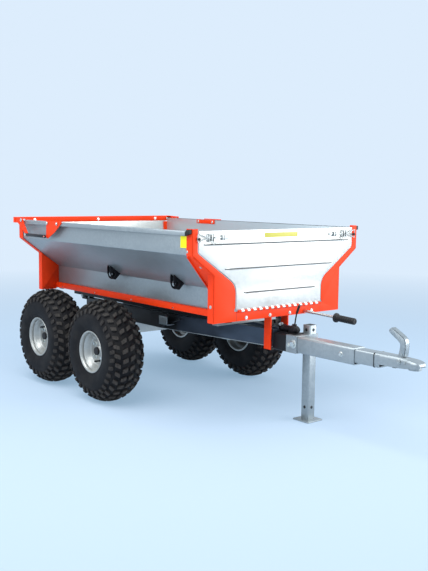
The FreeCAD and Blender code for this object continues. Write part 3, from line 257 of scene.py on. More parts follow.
def enamel_rim(colours):
    """Silver enamel, sprayed over pressed steel: a satin metallic flake with dust in the well."""
    tones = rgba(colours.rim), rgba(colours.rim, 0.72)
    material, *nodes = clouded("silver_enamel", 35 * MM, (0.42, 0.72), 0.5, tones, (0.3, 0.46), 4.0,
                               Metallic=0.6)
    grain(*nodes, 2.5 * MM, 0.15 * MM, 0.3)
    return material


def zinc_sheet(name, base_colour, contrast, metallic, inside=1.0):
    """Hot-dip galvanised steel: angular zinc crystals; faces that look into the body take an even colour, the
    base scaled by inside, which lays painted light on them when above 1.
    """
    material, tree, shader, place = new_material(name)
    spangle = bpy.context.scene.trailer_sizes.spangle
    crystal = add(tree, "TexVoronoi", {"Vector": place, "Scale": 1 / spangle, "Randomness": 1.0})
    tone = add(tree, "SeparateColor", {"Color": crystal.outputs["Color"]}).outputs[0]
    shade = combine(tree, "MULTIPLY", tone, noise(tree, place, 120 * MM, 4))
    base = mixed(tree, spread(tree, shade, 0.1, 0.65, 0, 1), rgba(base_colour, 1 - contrast),
                 rgba(base_colour, 1 + contrast))
    # Faces that look into the body take the base colour scaled by inside: a painted lift of light on the
    # inner sides.
    normal = add(tree, "NewGeometry").outputs["Normal"]
    across = [add(tree, "SeparateXYZ", {0: vector}).outputs["Y"] for vector in (normal, place)]
    inward_painted_light = spread(tree, combine(tree, "MULTIPLY", *across), -0.3, -0.2, 1, 0)
    tune(tree, shader, Base_Color=mixed(tree, inward_painted_light, base, rgba(base_colour, inside)),
         Roughness=spread(tree, tone, 0, 1, 0.31, 0.43), Metallic=metallic)
    return material


def galvanised(colours):
    """Hot-dip galvanised steel of the sides, floor and drawbar: dull blue-grey, its faces that look into the
    body lightened by painted light.
    """
    return zinc_sheet("galvanised_steel_inner_painted_light", colours.galvanised, 0.06, 0.7, 1.6)


def bright_sheet(colours):
    """New galvanised sheet of the gates: brighter, with a fainter spangle."""
    return zinc_sheet("new_galvanised_sheet", colours.bright_sheet, 0.03, 0.8)


def plated(colours):
    """Bright zinc plating on the coupler, latches and bolts: smooth, with faint yellow clouds."""
    tint = tuple(a * b for a, b in zip(colours.zinc_plate, (0.98, 0.93, 0.78)))
    tones = rgba(colours.zinc_plate), rgba(tint)
    return clouded("bright_zinc_plate", 18 * MM, (0.35, 0.75), 0.6, tones, (0.22, 0.36), Metallic=1.0)[0]


def passivated(colours):
    """Passivated steel of the latches: darker than the sheet, with cloudy gloss."""
    tones = rgba(colours.steel), rgba(colours.steel, 0.7)
    return clouded("passivated_steel", 12 * MM, (0.35, 0.7), 1.0, tones, (0.3, 0.5), Metallic=0.85)[0]


def powder_coat(name, base_colour, roughness, coat):
    """Powder coat, baked on steel: even colour with a fine orange peel in its gloss."""
    tones = rgba(base_colour), rgba(base_colour, 0.86)
    material, *nodes = clouded(name, 90 * MM, (0.35, 0.7), 0.35, tones, (roughness, roughness + 0.08),
                               Coat_Weight=coat, Coat_Roughness=0.15, Specular_IOR_Level=0.16)
    grain(*nodes, 4 * MM, 0.12 * MM, 0.25)
    return material


def red_coat(colours):
    """Red powder coat of the end frames, sills and brackets."""
    return powder_coat("red_powder_coat", colours.red, 0.45, 0.0)


def black_coat(colours):
    """Black powder coat of the lugs, the sleeve, the pump and the bed's bearers."""
    return powder_coat("black_powder_coat", colours.black, 0.42, 0.1)


def rail_steel_painted_shade(colours):
    """Steel of the underframe's rails: a dark zinc colour in front and black behind the bend, both painted
    shade of the bed above.
    """
    material, tree, shader, place = new_material("rail_steel_with_painted_shade")
    along = add(tree, "SeparateXYZ", {"Vector": place}).outputs[0]
    cloud = spread(tree, noise(tree, place, 70 * MM, 4, (0.4, 1, 1)), 0.35, 0.7, 0.0, 1.0)
    zinc = mixed(tree, cloud, rgba(colours.rail_painted_shade), rgba(colours.rail_painted_shade, 1.5))
    # Behind the bend the rails turn black: painted shade under the bed.
    front = spread(tree, along, -0.24, -0.2, 0.0, 1.0)
    tune(tree, shader, Base_Color=mixed(tree, front, rgba(colours.black), zinc),
         Roughness=spread(tree, cloud, 0, 1, 0.32, 0.5), Metallic=spread(tree, front, 0, 1, 0.0, 0.7))
    return material


def grip_rubber(colours):
    """Moulded black rubber of the grips: a soft, fine grain."""
    material, tree, shader, place = new_material("moulded_rubber")
    tune(tree, shader, Base_Color=rgba(colours.plastic), Roughness=0.55, Specular_IOR_Level=0.4)
    grain(tree, shader, place, 2 * MM, 0.2 * MM, 0.4)
    return material


def reflector_lens(colours):
    """Moulded acrylic of the reflectors: small prisms under a clear, glossy face, with a faint painted glow
    in their own colour.
    """
    material, tree, shader, place = new_material("prismatic_acrylic")
    prism = add(tree, "TexChecker", {"Vector": place, "Scale": 1 / (6 * MM)}).outputs["Fac"]
    tones = rgba(colours.reflector), rgba(colours.reflector, 0.8)
    base = mixed(tree, spread(tree, prism, 0, 1, 0, 0.35), *tones)
    # The faint emission is a painted glow; the reflectors are no lamps.
    tune(tree, shader, Base_Color=base, Roughness=0.3, Coat_Weight=0.3, Coat_Roughness=0.05,
         Specular_IOR_Level=0.2, Emission_Color=rgba(colours.reflector), Emission_Strength=0.08)
    return material


def vinyl_label(colours):
    """Vinyl of the blank label: flat and slightly glossy."""
    material, tree, shader, place = new_material("yellow_vinyl")
    base = mixed(tree, noise(tree, place, 40 * MM), rgba(colours.label), rgba(colours.label, 0.9))
    tune(tree, shader, Base_Color=base, Roughness=0.4)
    return material


FINISHES = {
    "tyre_rubber": rubber_tyre, "rim_silver": enamel_rim, "galvanised": galvanised,
    "bright_galvanised": bright_sheet, "zinc_plate": plated, "red_paint": red_coat,
    "black_paint": black_coat, "black_plastic": grip_rubber, "amber_reflector": reflector_lens,
    "label": vinyl_label, "steel": passivated, "rail_painted_shade": rail_steel_painted_shade,
}
MADE = {}


def finish_of(word):
    """Give the material of a finish, made once."""
    if word not in MADE:
        MADE[word] = FINISHES[word](bpy.context.scene.trailer_colours)
    return MADE[word]


# ---------------------------------------------------------------- surfaces

def rings(points, close=False, folded=False):
    """Skin a stack of closed rings, an array (rings, points, 3).

    Ring k and ring k + 1 are joined by quads; close joins the last ring to the first, or else the two
    end rings are capped; on a folded sheet, points k and n - 1 - k face each other across the sheet,
    and the caps are quads between them.  Gives vertices, corners of faces and face sizes."""
    count, around = points.shape[:2]
    index = np.arange(count * around).reshape(count, around)
    after = np.roll(index, -1, axis=0) if close else index[1:]
    here = index if close else index[:-1]
    quads = np.stack([here, np.roll(here, -1, 1), np.roll(after, -1, 1), after], axis=-1).reshape(-1, 4)
    corners, sizes = [quads.ravel()], [np.full(len(quads), 4)]
    if folded:
        for ring, turn in ((index[0], 1), (index[-1], -1)):
            one, other = ring[:around // 2], ring[::-1][:around // 2]
            strip = np.stack([one[:-1], other[:-1], other[1:], one[1:]], -1)[:, ::turn]
            corners.append(strip.ravel())
            sizes.append(np.full(len(strip), 4))
    elif not close:
        corners += [index[0][::-1], index[-1]]
        sizes += [[around], [around]]
    return points.reshape(-1, 3), np.concatenate(corners), np.concatenate(sizes)


def joined(parts):
    """Put several surfaces into one set of arrays."""
    shift = np.cumsum([0] + [len(part[0]) for part in parts[:-1]])
    return (np.concatenate([part[0] for part in parts]),
            np.concatenate([part[1] + move for part, move in zip(parts, shift)]),
            np.concatenate([part[2] for part in parts]))


def fillet(outline, radius, steps=6):
    """Round the corners of a closed outline of (across, up, own radius) or (across, up) points.

    Each corner p becomes an arc about p + b r / sin(h), with b its bisector and h half its angle."""
    points = np.array([corner[:2] for corner in outline], float)
    r = np.array([corner[2] if len(corner) > 2 else radius for corner in outline], float)
    back, on = np.roll(points, 1, 0) - points, np.roll(points, -1, 0) - points
    room = np.minimum(np.linalg.norm(back, axis=1), np.linalg.norm(on, axis=1))
    back /= np.linalg.norm(back, axis=1)[:, None]
    on /= np.linalg.norm(on, axis=1)[:, None]
    half = np.arccos(np.clip((back * on).sum(1), -1, 1)) / 2
    r = np.minimum(r, 0.45 * room * np.tan(half))
    r = np.where(np.sin(half) > 0.9999, 1e-9, r)
    middle = (back + on) / np.maximum(np.linalg.norm(back + on, axis=1), 1e-9)[:, None]
    centre = points + middle * (r / np.maximum(np.sin(half), 1e-9))[:, None]
    first = points + back * (r / np.tan(np.maximum(half, 1e-9)))[:, None] - centre
    turn = np.sign(back[:, 0] * on[:, 1] - back[:, 1] * on[:, 0]) * -(math.pi - 2 * half)
    angle = turn[:, None] * np.linspace(0, 1, steps)[None]
    spin = np.stack([np.cos(angle), -np.sin(angle), np.sin(angle), np.cos(angle)], -1)
    spin = spin.reshape(-1, steps, 2, 2)
    made = (centre[:, None] + np.einsum("nsij,nj->nsi", spin, first)).reshape(-1, 2)
    keep = np.linalg.norm(made - np.roll(made, 1, 0), axis=1) > 1e-7
    return made[keep]


def inset(outline, distance):
    """Move each point of an outline inwards along its mitre by a distance."""
    before, after = outline - np.roll(outline, 1, 0), np.roll(outline, -1, 0) - outline
    side = np.sign((outline[:, 0] * after[:, 1] - outline[:, 1] * after[:, 0]).sum())
    normal = [np.stack([-edge[:, 1], edge[:, 0]], 1) / np.linalg.norm(edge, axis=1)[:, None] * side
              for edge in (before, after)]
    mitre = normal[0] + normal[1]
    mitre /= np.maximum((mitre ** 2).sum(1) / 2, 0.35)[:, None]
    return outline + mitre * distance


PLANES = {"YZ": (2, 0, 1), "XZ": (0, 2, 1), "XY": (0, 1, 2)}


def on_plane(points, plane):
    """Turn local (across, up, out) points into X, Y and Z for a plane."""
    return points[..., PLANES[plane]]


def edge_steps(start, end, edge):
    """Give (height, inset) pairs that round both edges of a plate from start to end."""
    turn = np.linspace(0, math.pi / 2, 3)
    rise, pull = edge * (1 - np.cos(turn)), edge * (1 - np.sin(turn))
    return list(zip(start + rise, pull)) + list(zip(end - rise[::-1], pull[::-1]))


def layers(outline, steps):
    """Lay an outline, drawn in by each inset, at each height of the (height, inset) steps."""
    return [np.column_stack([inset(outline, pull), np.full(len(outline), height)]) for height, pull in steps]


def slab(outline, start, end, plane, edge=0.8 * MM, folded=False):
    """Extrude an outline from start to end with rounded edges: each ring is the outline drawn in."""
    stack = layers(outline, edge_steps(start, end, edge))
    return rings(on_plane(np.array(stack), plane), folded=folded)


def hollow(outer, inner, start, end, plane, edge=0.8 * MM):
    """Extrude the wall between two outlines with as many points each, with rounded outer edges."""
    stack = layers(outer, edge_steps(start, end, edge)) + layers(inner, ((end, 0), (start, 0)))
    return rings(on_plane(np.array(stack), plane), close=True)


def rectangle(left, bottom, right, top, radius=0.0, steps=4):
    """Give a rectangle's outline with rounded corners."""
    return fillet([(left, bottom), (right, bottom), (right, top), (left, top)], max(radius, 1e-6), steps)


def square_tube(corner, opposite, wall, radii, start, end, plane="YZ", steps=6):
    """Roll a square tube between two corners of its section, with its outer and inner corner radius."""
    (left, foot), (right, top) = corner, opposite
    inner = rectangle(left + wall, foot + wall, right - wall, top - wall, radii[1], steps)
    return hollow(rectangle(left, foot, right, top, radii[0], steps), inner, start, end, plane)


def block(corner, opposite, radius):
    """Make a box with rounded edges between two corners."""
    a, b = np.minimum(corner, opposite), np.maximum(corner, opposite)
    return slab(rectangle(a[0], a[1], b[0], b[1], radius), a[2], b[2], "XY", min(radius, (b[2] - a[2]) / 3))


def lathe(profile, centre, axis, steps=32, close=False):
    """Turn a profile of (radius, along) points about an axis through a centre.

    A point at angle t is radius cos t and radius sin t across the axis, at its height along it."""
    profile = np.array(profile, float)
    turn = np.linspace(0, 2 * math.pi, steps, endpoint=False)
    across = profile[:, :1] * np.cos(turn), profile[:, :1] * np.sin(turn)
    along = np.repeat(profile[:, 1:], steps, axis=1)
    order = {"X": (along, *across), "Y": (across[0], along, across[1]), "Z": (*across, along)}[axis]
    return rings(np.stack(order, -1) + np.array(centre, float), close=close)


def pin(radius, start, end, centre, axis, steps=18, bore=0.4 * MM):
    """Turn a plain round pin from start to end about an axis through a centre."""
    return lathe([(bore, start), (radius, start), (radius, end), (bore, end)], centre, axis, steps)


def circle(centre, radius, plane):
    """Give a closed ring of points about a centre: radius cos t across and radius sin t up."""
    turn = np.linspace(0, 2 * math.pi, 25)
    return on_plane(np.stack([radius * np.cos(turn), radius * np.sin(turn), 0 * turn], -1), plane) + centre


def smooth_path(points, steps=8):
    """Run a Catmull-Rom curve through points: a cubic in t for each span, from its four neighbours."""
    p = np.array(points, float)
    p = np.vstack([2 * p[0] - p[1], p, 2 * p[-1] - p[-2]])
    t = np.linspace(0, 1, steps, endpoint=False)[None, :, None]
    a, b, c, d = (p[i:len(p) - 3 + i, None] for i in range(4))
    curve = 0.5 * (2 * b + (c - a) * t + (2 * a - 5 * b + 4 * c - d) * t ** 2
                   + (3 * b - a - 3 * c + d) * t ** 3)
    return np.vstack([curve.reshape(-1, p.shape[1]), p[-2]])


def sweep(path, radius, sides=14, up=(0, 1, 0)):
    """Carry a circle along a path: a point at angle t lies at path + r (side cos t + over sin t)."""
    path = np.array(path, float)
    along = np.gradient(path, axis=0)
    along /= np.linalg.norm(along, axis=1)[:, None]
    side = np.cross(along, np.array(up, float))
    side /= np.linalg.norm(side, axis=1)[:, None]
    over = np.cross(side, along)
    r = np.broadcast_to(np.array(radius, float), (len(path),))[:, None, None]
    turn = np.linspace(0, 2 * math.pi, sides, endpoint=False)[None, :, None]
    return rings(path[:, None] + r * (np.cos(turn) * side[:, None] + np.sin(turn) * over[:, None]))


def turned(part, at, out):
    """Stand a part made about the origin on a point, its Z along out."""
    z = np.array(out, float) / np.linalg.norm(out)
    x = np.cross((0.0, 0, 1), z)
    x = x / np.linalg.norm(x) if np.linalg.norm(x) > 1e-6 else np.array([1.0, 0, 0])
    return part[0] @ np.array([x, np.cross(z, x), z]) + np.array(at, float), part[1], part[2]


def bolt(at, out, across, height, washer=True):
    """Make a hexagon bolt head, its top drawn in, on a round washer."""
    turn = np.arange(6) * math.pi / 3
    hexagon = across / math.sqrt(3) * np.column_stack([np.cos(turn), np.sin(turn)])
    levels = [(1, -1 * MM), (1, height * 0.75), (0.9, height), (0.45, height)]
    head = np.array([np.column_stack([hexagon * share, np.full(6, z)]) for share, z in levels])
    parts = [rings(head)]
    if washer:
        wide, thick = 0.85 * across, 1.7 * MM
        disc = [(wide, -1 * MM), (wide, 1.2 * MM), (0.8 * across, thick), (0.3 * across, thick)]
        parts.append(lathe(disc, (0, 0, 0), "Z", 20))
    return turned(joined(parts), at, out)


def mirror(part):
    """Give the twin of a part across the centreline."""
    return part[0] * np.array([1, -1, 1]), part[1], part[2]


def both(parts):
    """Give right-hand parts with their left-hand twins."""
    return parts + [mirror(part) for part in parts]


def piece(name, parts, finish, body, stands_for=(), angle=35, wear=None):
    """Make one mesh object at the origin from surfaces, and hang it on its body."""
    vertices, corners, sizes = joined(parts)
    mesh = bpy.data.meshes.new(name)
    mesh.vertices.add(len(vertices))
    mesh.vertices.foreach_set("co", vertices.astype(np.float32).ravel())
    mesh.loops.add(len(corners))
    mesh.loops.foreach_set("vertex_index", corners.astype(np.int32))
    mesh.polygons.add(len(sizes))
    starts = np.concatenate([[0], np.cumsum(sizes)[:-1]])
    mesh.polygons.foreach_set("loop_start", starts.astype(np.int32))
    mesh.update(calc_edges=True)
    if wear is not None:
        attribute = mesh.attributes.new("wear", "FLOAT", "POINT")
        attribute.data.foreach_set("value", wear.astype(np.float32))
    shell = bmesh.new()
    shell.from_mesh(mesh)
    bmesh.ops.recalc_face_normals(shell, faces=shell.faces)
    shell.to_mesh(mesh)
    shell.free()
    mesh.polygons.foreach_set("use_smooth", sizes <= 4)
    mesh.set_sharp_from_angle(angle=math.radians(angle))
    mesh.materials.append(finish_of(finish))
    item = bpy.data.objects.new(name, mesh)
    bpy.context.scene.collection.objects.link(item)
    if stands_for:
        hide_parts(*stands_for)
    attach(item, body)
    return item


# ---------------------------------------------------------------- wheels

TYRE_RADIUS = (high("tyre_front_right").z - low("tyre_front_right").z) / 2
TYRE_HALF = (high("tyre_front_right").y - low("tyre_front_right").y) / 2
# half of the carcass profile, from the bead out to the crown, as (radius, across)
CARCASS = [(104, 84), (112, 87), (118, 90.5), (123, 94), (127, 94.6), (132, 96.5), (147, 101.5), (166, 104.6),
           (184, 105), (202, 102.5), (218, 96.5), (233, 86), (244, 73), (254, 56), (261.5, 36), (265.5, 17),
           (266.5, 0)]
# rows of lugs from the crown outwards, as (arc length from the crown, width, length round the tyre, skew,
# turn as a share of the pitch, share of the full height)
LUG_ROWS = [(0, 27, 25, 8, 0, 1), (38, 29, 25, -7, 0.5, 1), (76, 30, 26, 6, 0, 0.95),
            (111, 30, 28, -3, 0.5, 0.6)]
# the lines of the grid over one lug, and the share of its height that each line reaches
LUG_LINES = np.array([-1, -0.96, -0.84, 0, 0.84, 0.96, 1])
LUG_RISE = np.array([-0.25, 0.84, 1, 1, 1, 0.84, -0.25])
# how much a lug narrows and shortens at its ends, how much and how often the rows wander round the tyre, and
# the share of a pitch by which the far side runs ahead
LUG_WAIST, LUG_TAPER, WANDER, WAVES, LEAD = 0.1, 0.12, 0.05, 5, 0.25


def carcass_curve(across):
    """Give the carcass's (radius, across) and its outward normal at arc lengths from the crown."""
    half = smooth_path(mm(CARCASS[::-1]), 6)
    full = np.vstack([half[::-1], (half * (1, -1))[1:]])
    run = np.concatenate([[0], np.cumsum(np.linalg.norm(np.diff(full, axis=0), axis=1))])
    run -= run[-1] / 2
    slope = np.gradient(full, run, axis=0)
    radius, side, slope_r, slope_y = (np.interp(-across, run, column) for column in (*full.T, *slope.T))
    size = np.hypot(slope_r, slope_y)
    return radius, side, -slope_y / size, slope_r / size


def tread_lugs(centre, sizes):
    """Place tread lugs: each is a 7 by 7 grid over a skewed block, h = height times an edge profile.

    A point at (a, b) lies at arc length s = s0 + a w / 2 across the tyre and turn t = t0 + (b l / 2
    + skew a) / R, raised along the carcass's normal by h, lowest outside and full height inside."""
    count = int(round(2 * math.pi * TYRE_RADIUS / sizes.lug_pitch / 2)) * 2
    aa, bb = np.meshgrid(LUG_LINES, LUG_LINES, indexing="ij")
    rise = np.minimum(*np.meshgrid(LUG_RISE, LUG_RISE, indexing="ij"))
    verts, wear = [], []
    for offset, width, run, skew, stagger, share in LUG_ROWS:
        for hand in (1, -1) if offset else (1,):
            turn = 2 * math.pi * (np.arange(count) + stagger + LEAD * (hand < 0)) / count
            wander = (1 + WANDER * np.sin(turn * WAVES + offset))[:, None, None]
            s = (hand * offset + aa * (1 - LUG_WAIST * bb ** 2) * width / 2)[None] * wander * MM
            round_tyre = (bb * (1 - LUG_TAPER * aa ** 2) * run / 2 + hand * skew * aa) * MM / TYRE_RADIUS
            t = turn[:, None, None] + round_tyre[None]
            radius, side, out_r, out_y = carcass_curve(s)
            h = rise[None] * sizes.lug_height * share
            reach, y = radius + out_r * h, np.clip(side + out_y * h, -TYRE_HALF, TYRE_HALF)
            verts.append(np.stack([reach * np.cos(t), y, reach * np.sin(t)], -1))
            wear.append(np.broadcast_to(np.clip(rise, 0, 1) ** 3 * share, s.shape))
    verts = np.concatenate(verts) + np.array(centre)
    index = np.arange(verts[..., 0].size).reshape(verts.shape[:3])
    quads = np.stack([index[:, :-1, :-1], index[:, 1:, :-1], index[:, 1:, 1:], index[:, :-1, 1:]], -1)
    border = np.concatenate([index[:, 0, :-1], index[:, :-1, -1], index[:, -1, :0:-1], index[:, :0:-1, 0]], 1)
    counts = [4] * (quads.size // 4) + [border.shape[1]] * len(border)
    surface = verts.reshape(-1, 3), np.concatenate([quads.ravel(), border.ravel()]), np.array(counts)
    return surface, np.concatenate(wear).ravel()


def wheel_centres():
    """List each wheel's word, hand and centre."""
    found = []
    for end in ("front", "rear"):
        for side, hand in (("left", 1), ("right", -1)):
            a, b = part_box(f"tyre_{end}_{side}")
            found.append((f"{end}_{side}", hand, [(a.x + b.x) / 2, (a.y + b.y) / 2, (a.z + b.z) / 2]))
    return found


class TRAILER_OT_tyres(bpy.types.Operator):
    """Mould the four knobby tyres: a round carcass with staggered lugs."""
    bl_idname = "trailer.tyres"
    bl_label = "Tyres"

    def execute(self, context):
        sizes = context.scene.trailer_sizes
        half = smooth_path(mm(CARCASS), 4)
        half[:, 1] = np.minimum(half[:, 1], TYRE_HALF)
        ring = np.vstack([half, (half * (1, -1))[::-1][1:]])
        for word, _, centre in wheel_centres():
            lugs, wear = tread_lugs(centre, sizes)
            body = lathe(ring, centre, "Y", 128, close=True)
            marks = np.concatenate([np.zeros(len(body[0])), wear])
            piece(f"knobby_tyre_{word}", [body, lugs], "tyre_rubber", f"wheel_{word}", (f"tyre_{word}",),
                  32, marks)
        return {"FINISHED"}


DISC_DEPTH = 54.8
# the rim's skin from the outer bead over the flange, the dish and the disc to the hub, then along its
# back to the inner flange and the well, as (radius, depth behind the outer flange)
RIM_FACE = [(104.5, 9), (106, 6.8), (109, 6.2), (112, 5.4), (114.2, 3.8), (115, 2), (114.2, 0.6), (112.4, 0),
            (110, 0.5), (107.5, 2.2), (105, 5), (103, 9), (101.6, 14), (101.2, 17.5), (102.6, 19.5),
            (102.8, 21.5), (101.2, 23.8), (98, 26.5), (93, 34), (88, 43), (85, 49), (83, 53), (80, 55.4),
            (76, 56), (64, 56), (62, DISC_DEPTH), (34, DISC_DEPTH), (32, 54), (28, 50), (26, 47), (24, 46),
            (16.1, 46)]
RIM_BACK = [(16.1, 134), (24, 134), (26, 132), (26, 66), (28, 64), (78, 64), (86, 62), (92, 64), (98, 70),
            (101, 78), (101, 168), (102, 178), (105, 184), (109, 185.6), (113, 185.6), (115, 184),
            (114.4, 182), (109, 180), (104.5, 177), (104.2, 150), (88, 140), (88, 92), (89, 62), (94, 46),
            (101, 33), (105, 28)]
NUTS, NUT_CIRCLE, VALVE_CIRCLE = 4, 50 * MM, 54 * MM
VALVE_ANGLES = {"front": -79, "rear": 101}
# the black hub cap and the valve, as (radius, height above the disc)
HUB_CAP = [(22, -1), (22, 9), (20.5, 11.5), (17, 12.5), (0.5, 13)]
VALVE = [(7, -2), (7, 2), (5, 5), (4.4, 20), (5.2, 21), (5.2, 33), (4, 34.5), (0.4, 34.5)]


class TRAILER_OT_rims(bpy.types.Operator):
    """Press the four dished rims with their hubs, nuts, black caps and valves."""
    bl_idname = "trailer.rims"
    bl_label = "Rims"

    def execute(self, context):
        half = (high("rim_front_right").y - low("rim_front_right").y) / 2
        profile = mm(RIM_FACE + RIM_BACK) * (1, -1) + (0, half)
        disc = half - DISC_DEPTH * MM
        turns = (np.arange(NUTS) + 0.5) * 2 * math.pi / NUTS
        for word, hand, centre in wheel_centres():
            x, y, z = centre
            out = (0, hand, 0)

            def spot(radius, turn):
                return x + radius * math.cos(turn), y + hand * disc, z + radius * math.sin(turn)

            rim = lathe(profile * (1, hand), centre, "Y", 96, close=True)
            piece(f"pressed_rim_{word}", [rim], "rim_silver", f"wheel_{word}", (f"rim_{word}",), 40)
            nuts = [bolt(spot(NUT_CIRCLE, turn), out, 17 * MM, 11 * MM) for turn in turns]
            piece(f"wheel_nuts_{word}", nuts, "zinc_plate", f"wheel_{word}")
            cap = lathe(mm(HUB_CAP) * (1, hand) + (0, hand * (disc + 8 * MM)), centre, "Y", 40)
            valve_turn = math.radians(VALVE_ANGLES[word.split("_")[0]])
            valve = turned(lathe(mm(VALVE), (0, 0, 0), "Z", 16), spot(VALVE_CIRCLE, valve_turn), out)
            piece(f"hub_cap_{word}", [cap, valve], "black_plastic", f"wheel_{word}")
        return {"FINISHED"}


# ---------------------------------------------------------------- bed

def frame_edge():
    """List the right half of an end frame's outer edge, from the top down."""
    return [(-FRAME_HALF, BED_TOP), (-FRAME_HALF, FRAME_HIGH_KNEE), (-FRAME_LOW_HALF, FRAME_LOW_KNEE),
            (-FRAME_LOW_HALF, BED_FOOT)]


def mouth_edge(bottom):
    """List the right half of an end frame's opening, from its foot to its upper knee."""
    return [(-MOUTH_LOW_HALF - 11 * MM, bottom, 6 * MM), (-MOUTH_LOW_HALF, bottom + 20 * MM, 6 * MM),
            (-MOUTH_LOW_HALF, MOUTH_LOW_KNEE, MOUTH_RADIUS), (-MOUTH_HALF, MOUTH_HIGH_KNEE, 20 * MM)]


def twin(outline):
    """Complete an outline by its mirrored points in reverse order."""
    return list(outline) + [(-corner[0],) + tuple(corner[1:]) for corner in reversed(outline)]


def end_plate(start, top, bottom):
    """Cut an end frame's plate: a wide U whose inside follows the body's section."""
    outer = [(-FRAME_HALF, top, 3 * MM)] + [(y, z, 6 * MM) for y, z in frame_edge()[1:]]
    inner = twin(mouth_edge(bottom) + [(-MOUTH_HALF, top, 2 * MM)])
    half = len(inner) // 2
    return slab(fillet(twin(outer) + inner[half:] + inner[:half], MM, 7), start, start + PLATE, "YZ", MM)


def flange(start, end, fold):
    """Carry a strip along the frame's outer edge, from start to end in X: it folds in at end.

    A point at (u, x) of the section lies at x, edge y + u and edge z + drop u."""
    path = np.array(frame_edge(), float)
    drop = np.array([0, MITRE, MITRE, 0])
    section = fillet([(0, start), (0, end, fold), (PLATE, end, 0.5 * MM), (PLATE, start)], 1 * MM, 4)
    y = path[:, 0][:, None] + section[None, :, 0]
    z = path[:, 1][:, None] + drop[:, None] * section[None, :, 0]
    x = np.broadcast_to(section[None, :, 1], y.shape)
    return rings(np.stack([x, y, z], -1))


def hinge_leaf(count, radius, corner, opposite):
    """Roll a leaf of the front hinge: barrels about the gate's axis, and tabs in (X, Z) to their sheet."""
    middles = (np.arange(count) - (count - 1) / 2) * KNUCKLE_PITCH
    ends = [(y - KNUCKLE_HALF, y + KNUCKLE_HALF) for y in middles]
    bore, soft = 0.3 * MM, 1.2 * MM
    made = []
    for a, b in ends:
        profile = [(bore, a), (radius - soft, a), (radius, a + soft), (radius, b - soft), (radius - soft, b),
                   (bore, b)]
        made.append(lathe(profile, (GATE_AXIS[0], 0, GATE_AXIS[1]), "Y", 20))
    return made + [block((corner[0], a, corner[1]), (opposite[0], b, opposite[1]), 1 * MM) for a, b in ends]


def on_slope(x, along, off):
    """Give points at x, along the right side's slope from its lower knee, and off its outer face.

    A point at s along it and h off it lies at knee + s run + h out."""
    y = -LOW_HALF + along * SLOPE_RUN[0] + off * SLOPE_OUT[0]
    z = LOW_KNEE + along * SLOPE_RUN[1] + off * SLOPE_OUT[1]
    return np.stack([x, y, z], -1)


def front_bolts():
    """Place the bolts of the front frame's strip, flanges and gussets, as (point, direction, width)."""
    spots = [((BED_FRONT, y * MM, BED_FOOT + 14 * MM), (1, 0, 0), 11 * MM) for y in (-230, -70, 70, 230)]
    skin = on_slope(BED_FRONT - 30 * MM, 0.7 * SLOPE_SPAN, GUSSET)
    spots.append((skin, (0, *SLOPE_OUT), 9 * MM))
    spots.append(((BED_FRONT - 22 * MM, -FRAME_LOW_HALF, BED_FOOT + 79 * MM), (0, -1, 0), 10 * MM))
    spots.append(((BED_FRONT - 38 * MM, -FRAME_HALF, HIGH_KNEE + 16 * MM), (0, -1, 0), 8 * MM))
    return spots


class TRAILER_OT_front_frame(bpy.types.Operator):
    """Fold the red front frame with its gussets, hinge knuckles, pegs and bolts."""
    bl_idname = "trailer.front_frame"
    bl_label = "Front frame"

    def execute(self, context):
        sizes = context.scene.trailer_sizes
        strip = FLOOR_TOP + 5 * MM
        parts = [end_plate(BED_FRONT - PLATE, BED_TOP, strip)]
        parts += both([flange(BED_FRONT - FLANGE_DEPTH, BED_FRONT, sizes.fold)])
        parts += hinge_leaf(15, 6 * MM, (BED_FRONT, strip - 5 * MM), GATE_AXIS)
        parts += both(self.gusset())
        piece("folded_front_frame", parts, "red_paint", "bed", ("front_frame",))
        bolts = []
        for at, out, across in front_bolts():
            made = bolt(at, out, across, across * 0.4)
            bolts += [made] if out[0] else both([made])
        peg = lathe(mm([(5, -2), (5, 11), (7, 11.5), (7, 13.5), (6, 14), (0.4, 14)]),
                    (BED_FRONT, -MOUTH_HALF - 2 * MM, BED_TOP - 47 * MM), "X", 20)
        piece("frame_bolts", bolts, "zinc_plate", "bed")
        piece("bail_pegs", both([peg]), "black_paint", "bed")
        rear, front, half = BED_FRONT - MM, BED_FRONT + 0.25 * MM, 0.9 * MM
        seams = [block((rear, y - half, BED_FOOT + MM), (front, y + half, strip - MM), 0.2 * MM)
                 for y in (-294 * MM, 294 * MM)]
        piece("frame_seams_and_caps", seams + both([self.cap()]), "black_plastic", "bed")
        return {"FINISHED"}

    def cap(self):
        """Cap the front end of the side's lip: a wedge that falls towards the rear."""
        wedge = mm([(-38, -34), (-4, -22), (-4, -2), (-26, -5)]) + (BED_FRONT, BED_TOP)
        return slab(fillet(wedge, 3 * MM, 4), -HIGH_HALF - 22 * MM, -HIGH_HALF - PLATE, "XZ", 1.5 * MM)

    def gusset(self):
        """Lay the tapering gusset on the slope, wide at its head, with its rear edge turned up."""
        head = [(-4 * MM, 0), (-4 * MM, SLOPE_SPAN), (-39 * MM, SLOPE_SPAN)]
        plate = fillet([(-174 * MM, 0)] + head, 4 * MM, 4)
        edge = fillet([(-174 * MM, 0), (-166 * MM, 0), (-33 * MM, SLOPE_SPAN), head[-1]], 1 * MM, 4)
        made = []
        for outline, height in ((plate, GUSSET), (edge, GUSSET + 7 * MM)):
            points, *faces = slab(outline, 0, height, "XY", 1 * MM)
            made.append((on_slope(BED_FRONT + points[:, 0], points[:, 1], points[:, 2]), *faces))
        return made


# the rear frame's inner backing strip, from end to end, and the places of its bolts
STRIP_ENDS, STRIP_BOLTS = (-951 * MM, -763 * MM), (-932 * MM, -786 * MM)


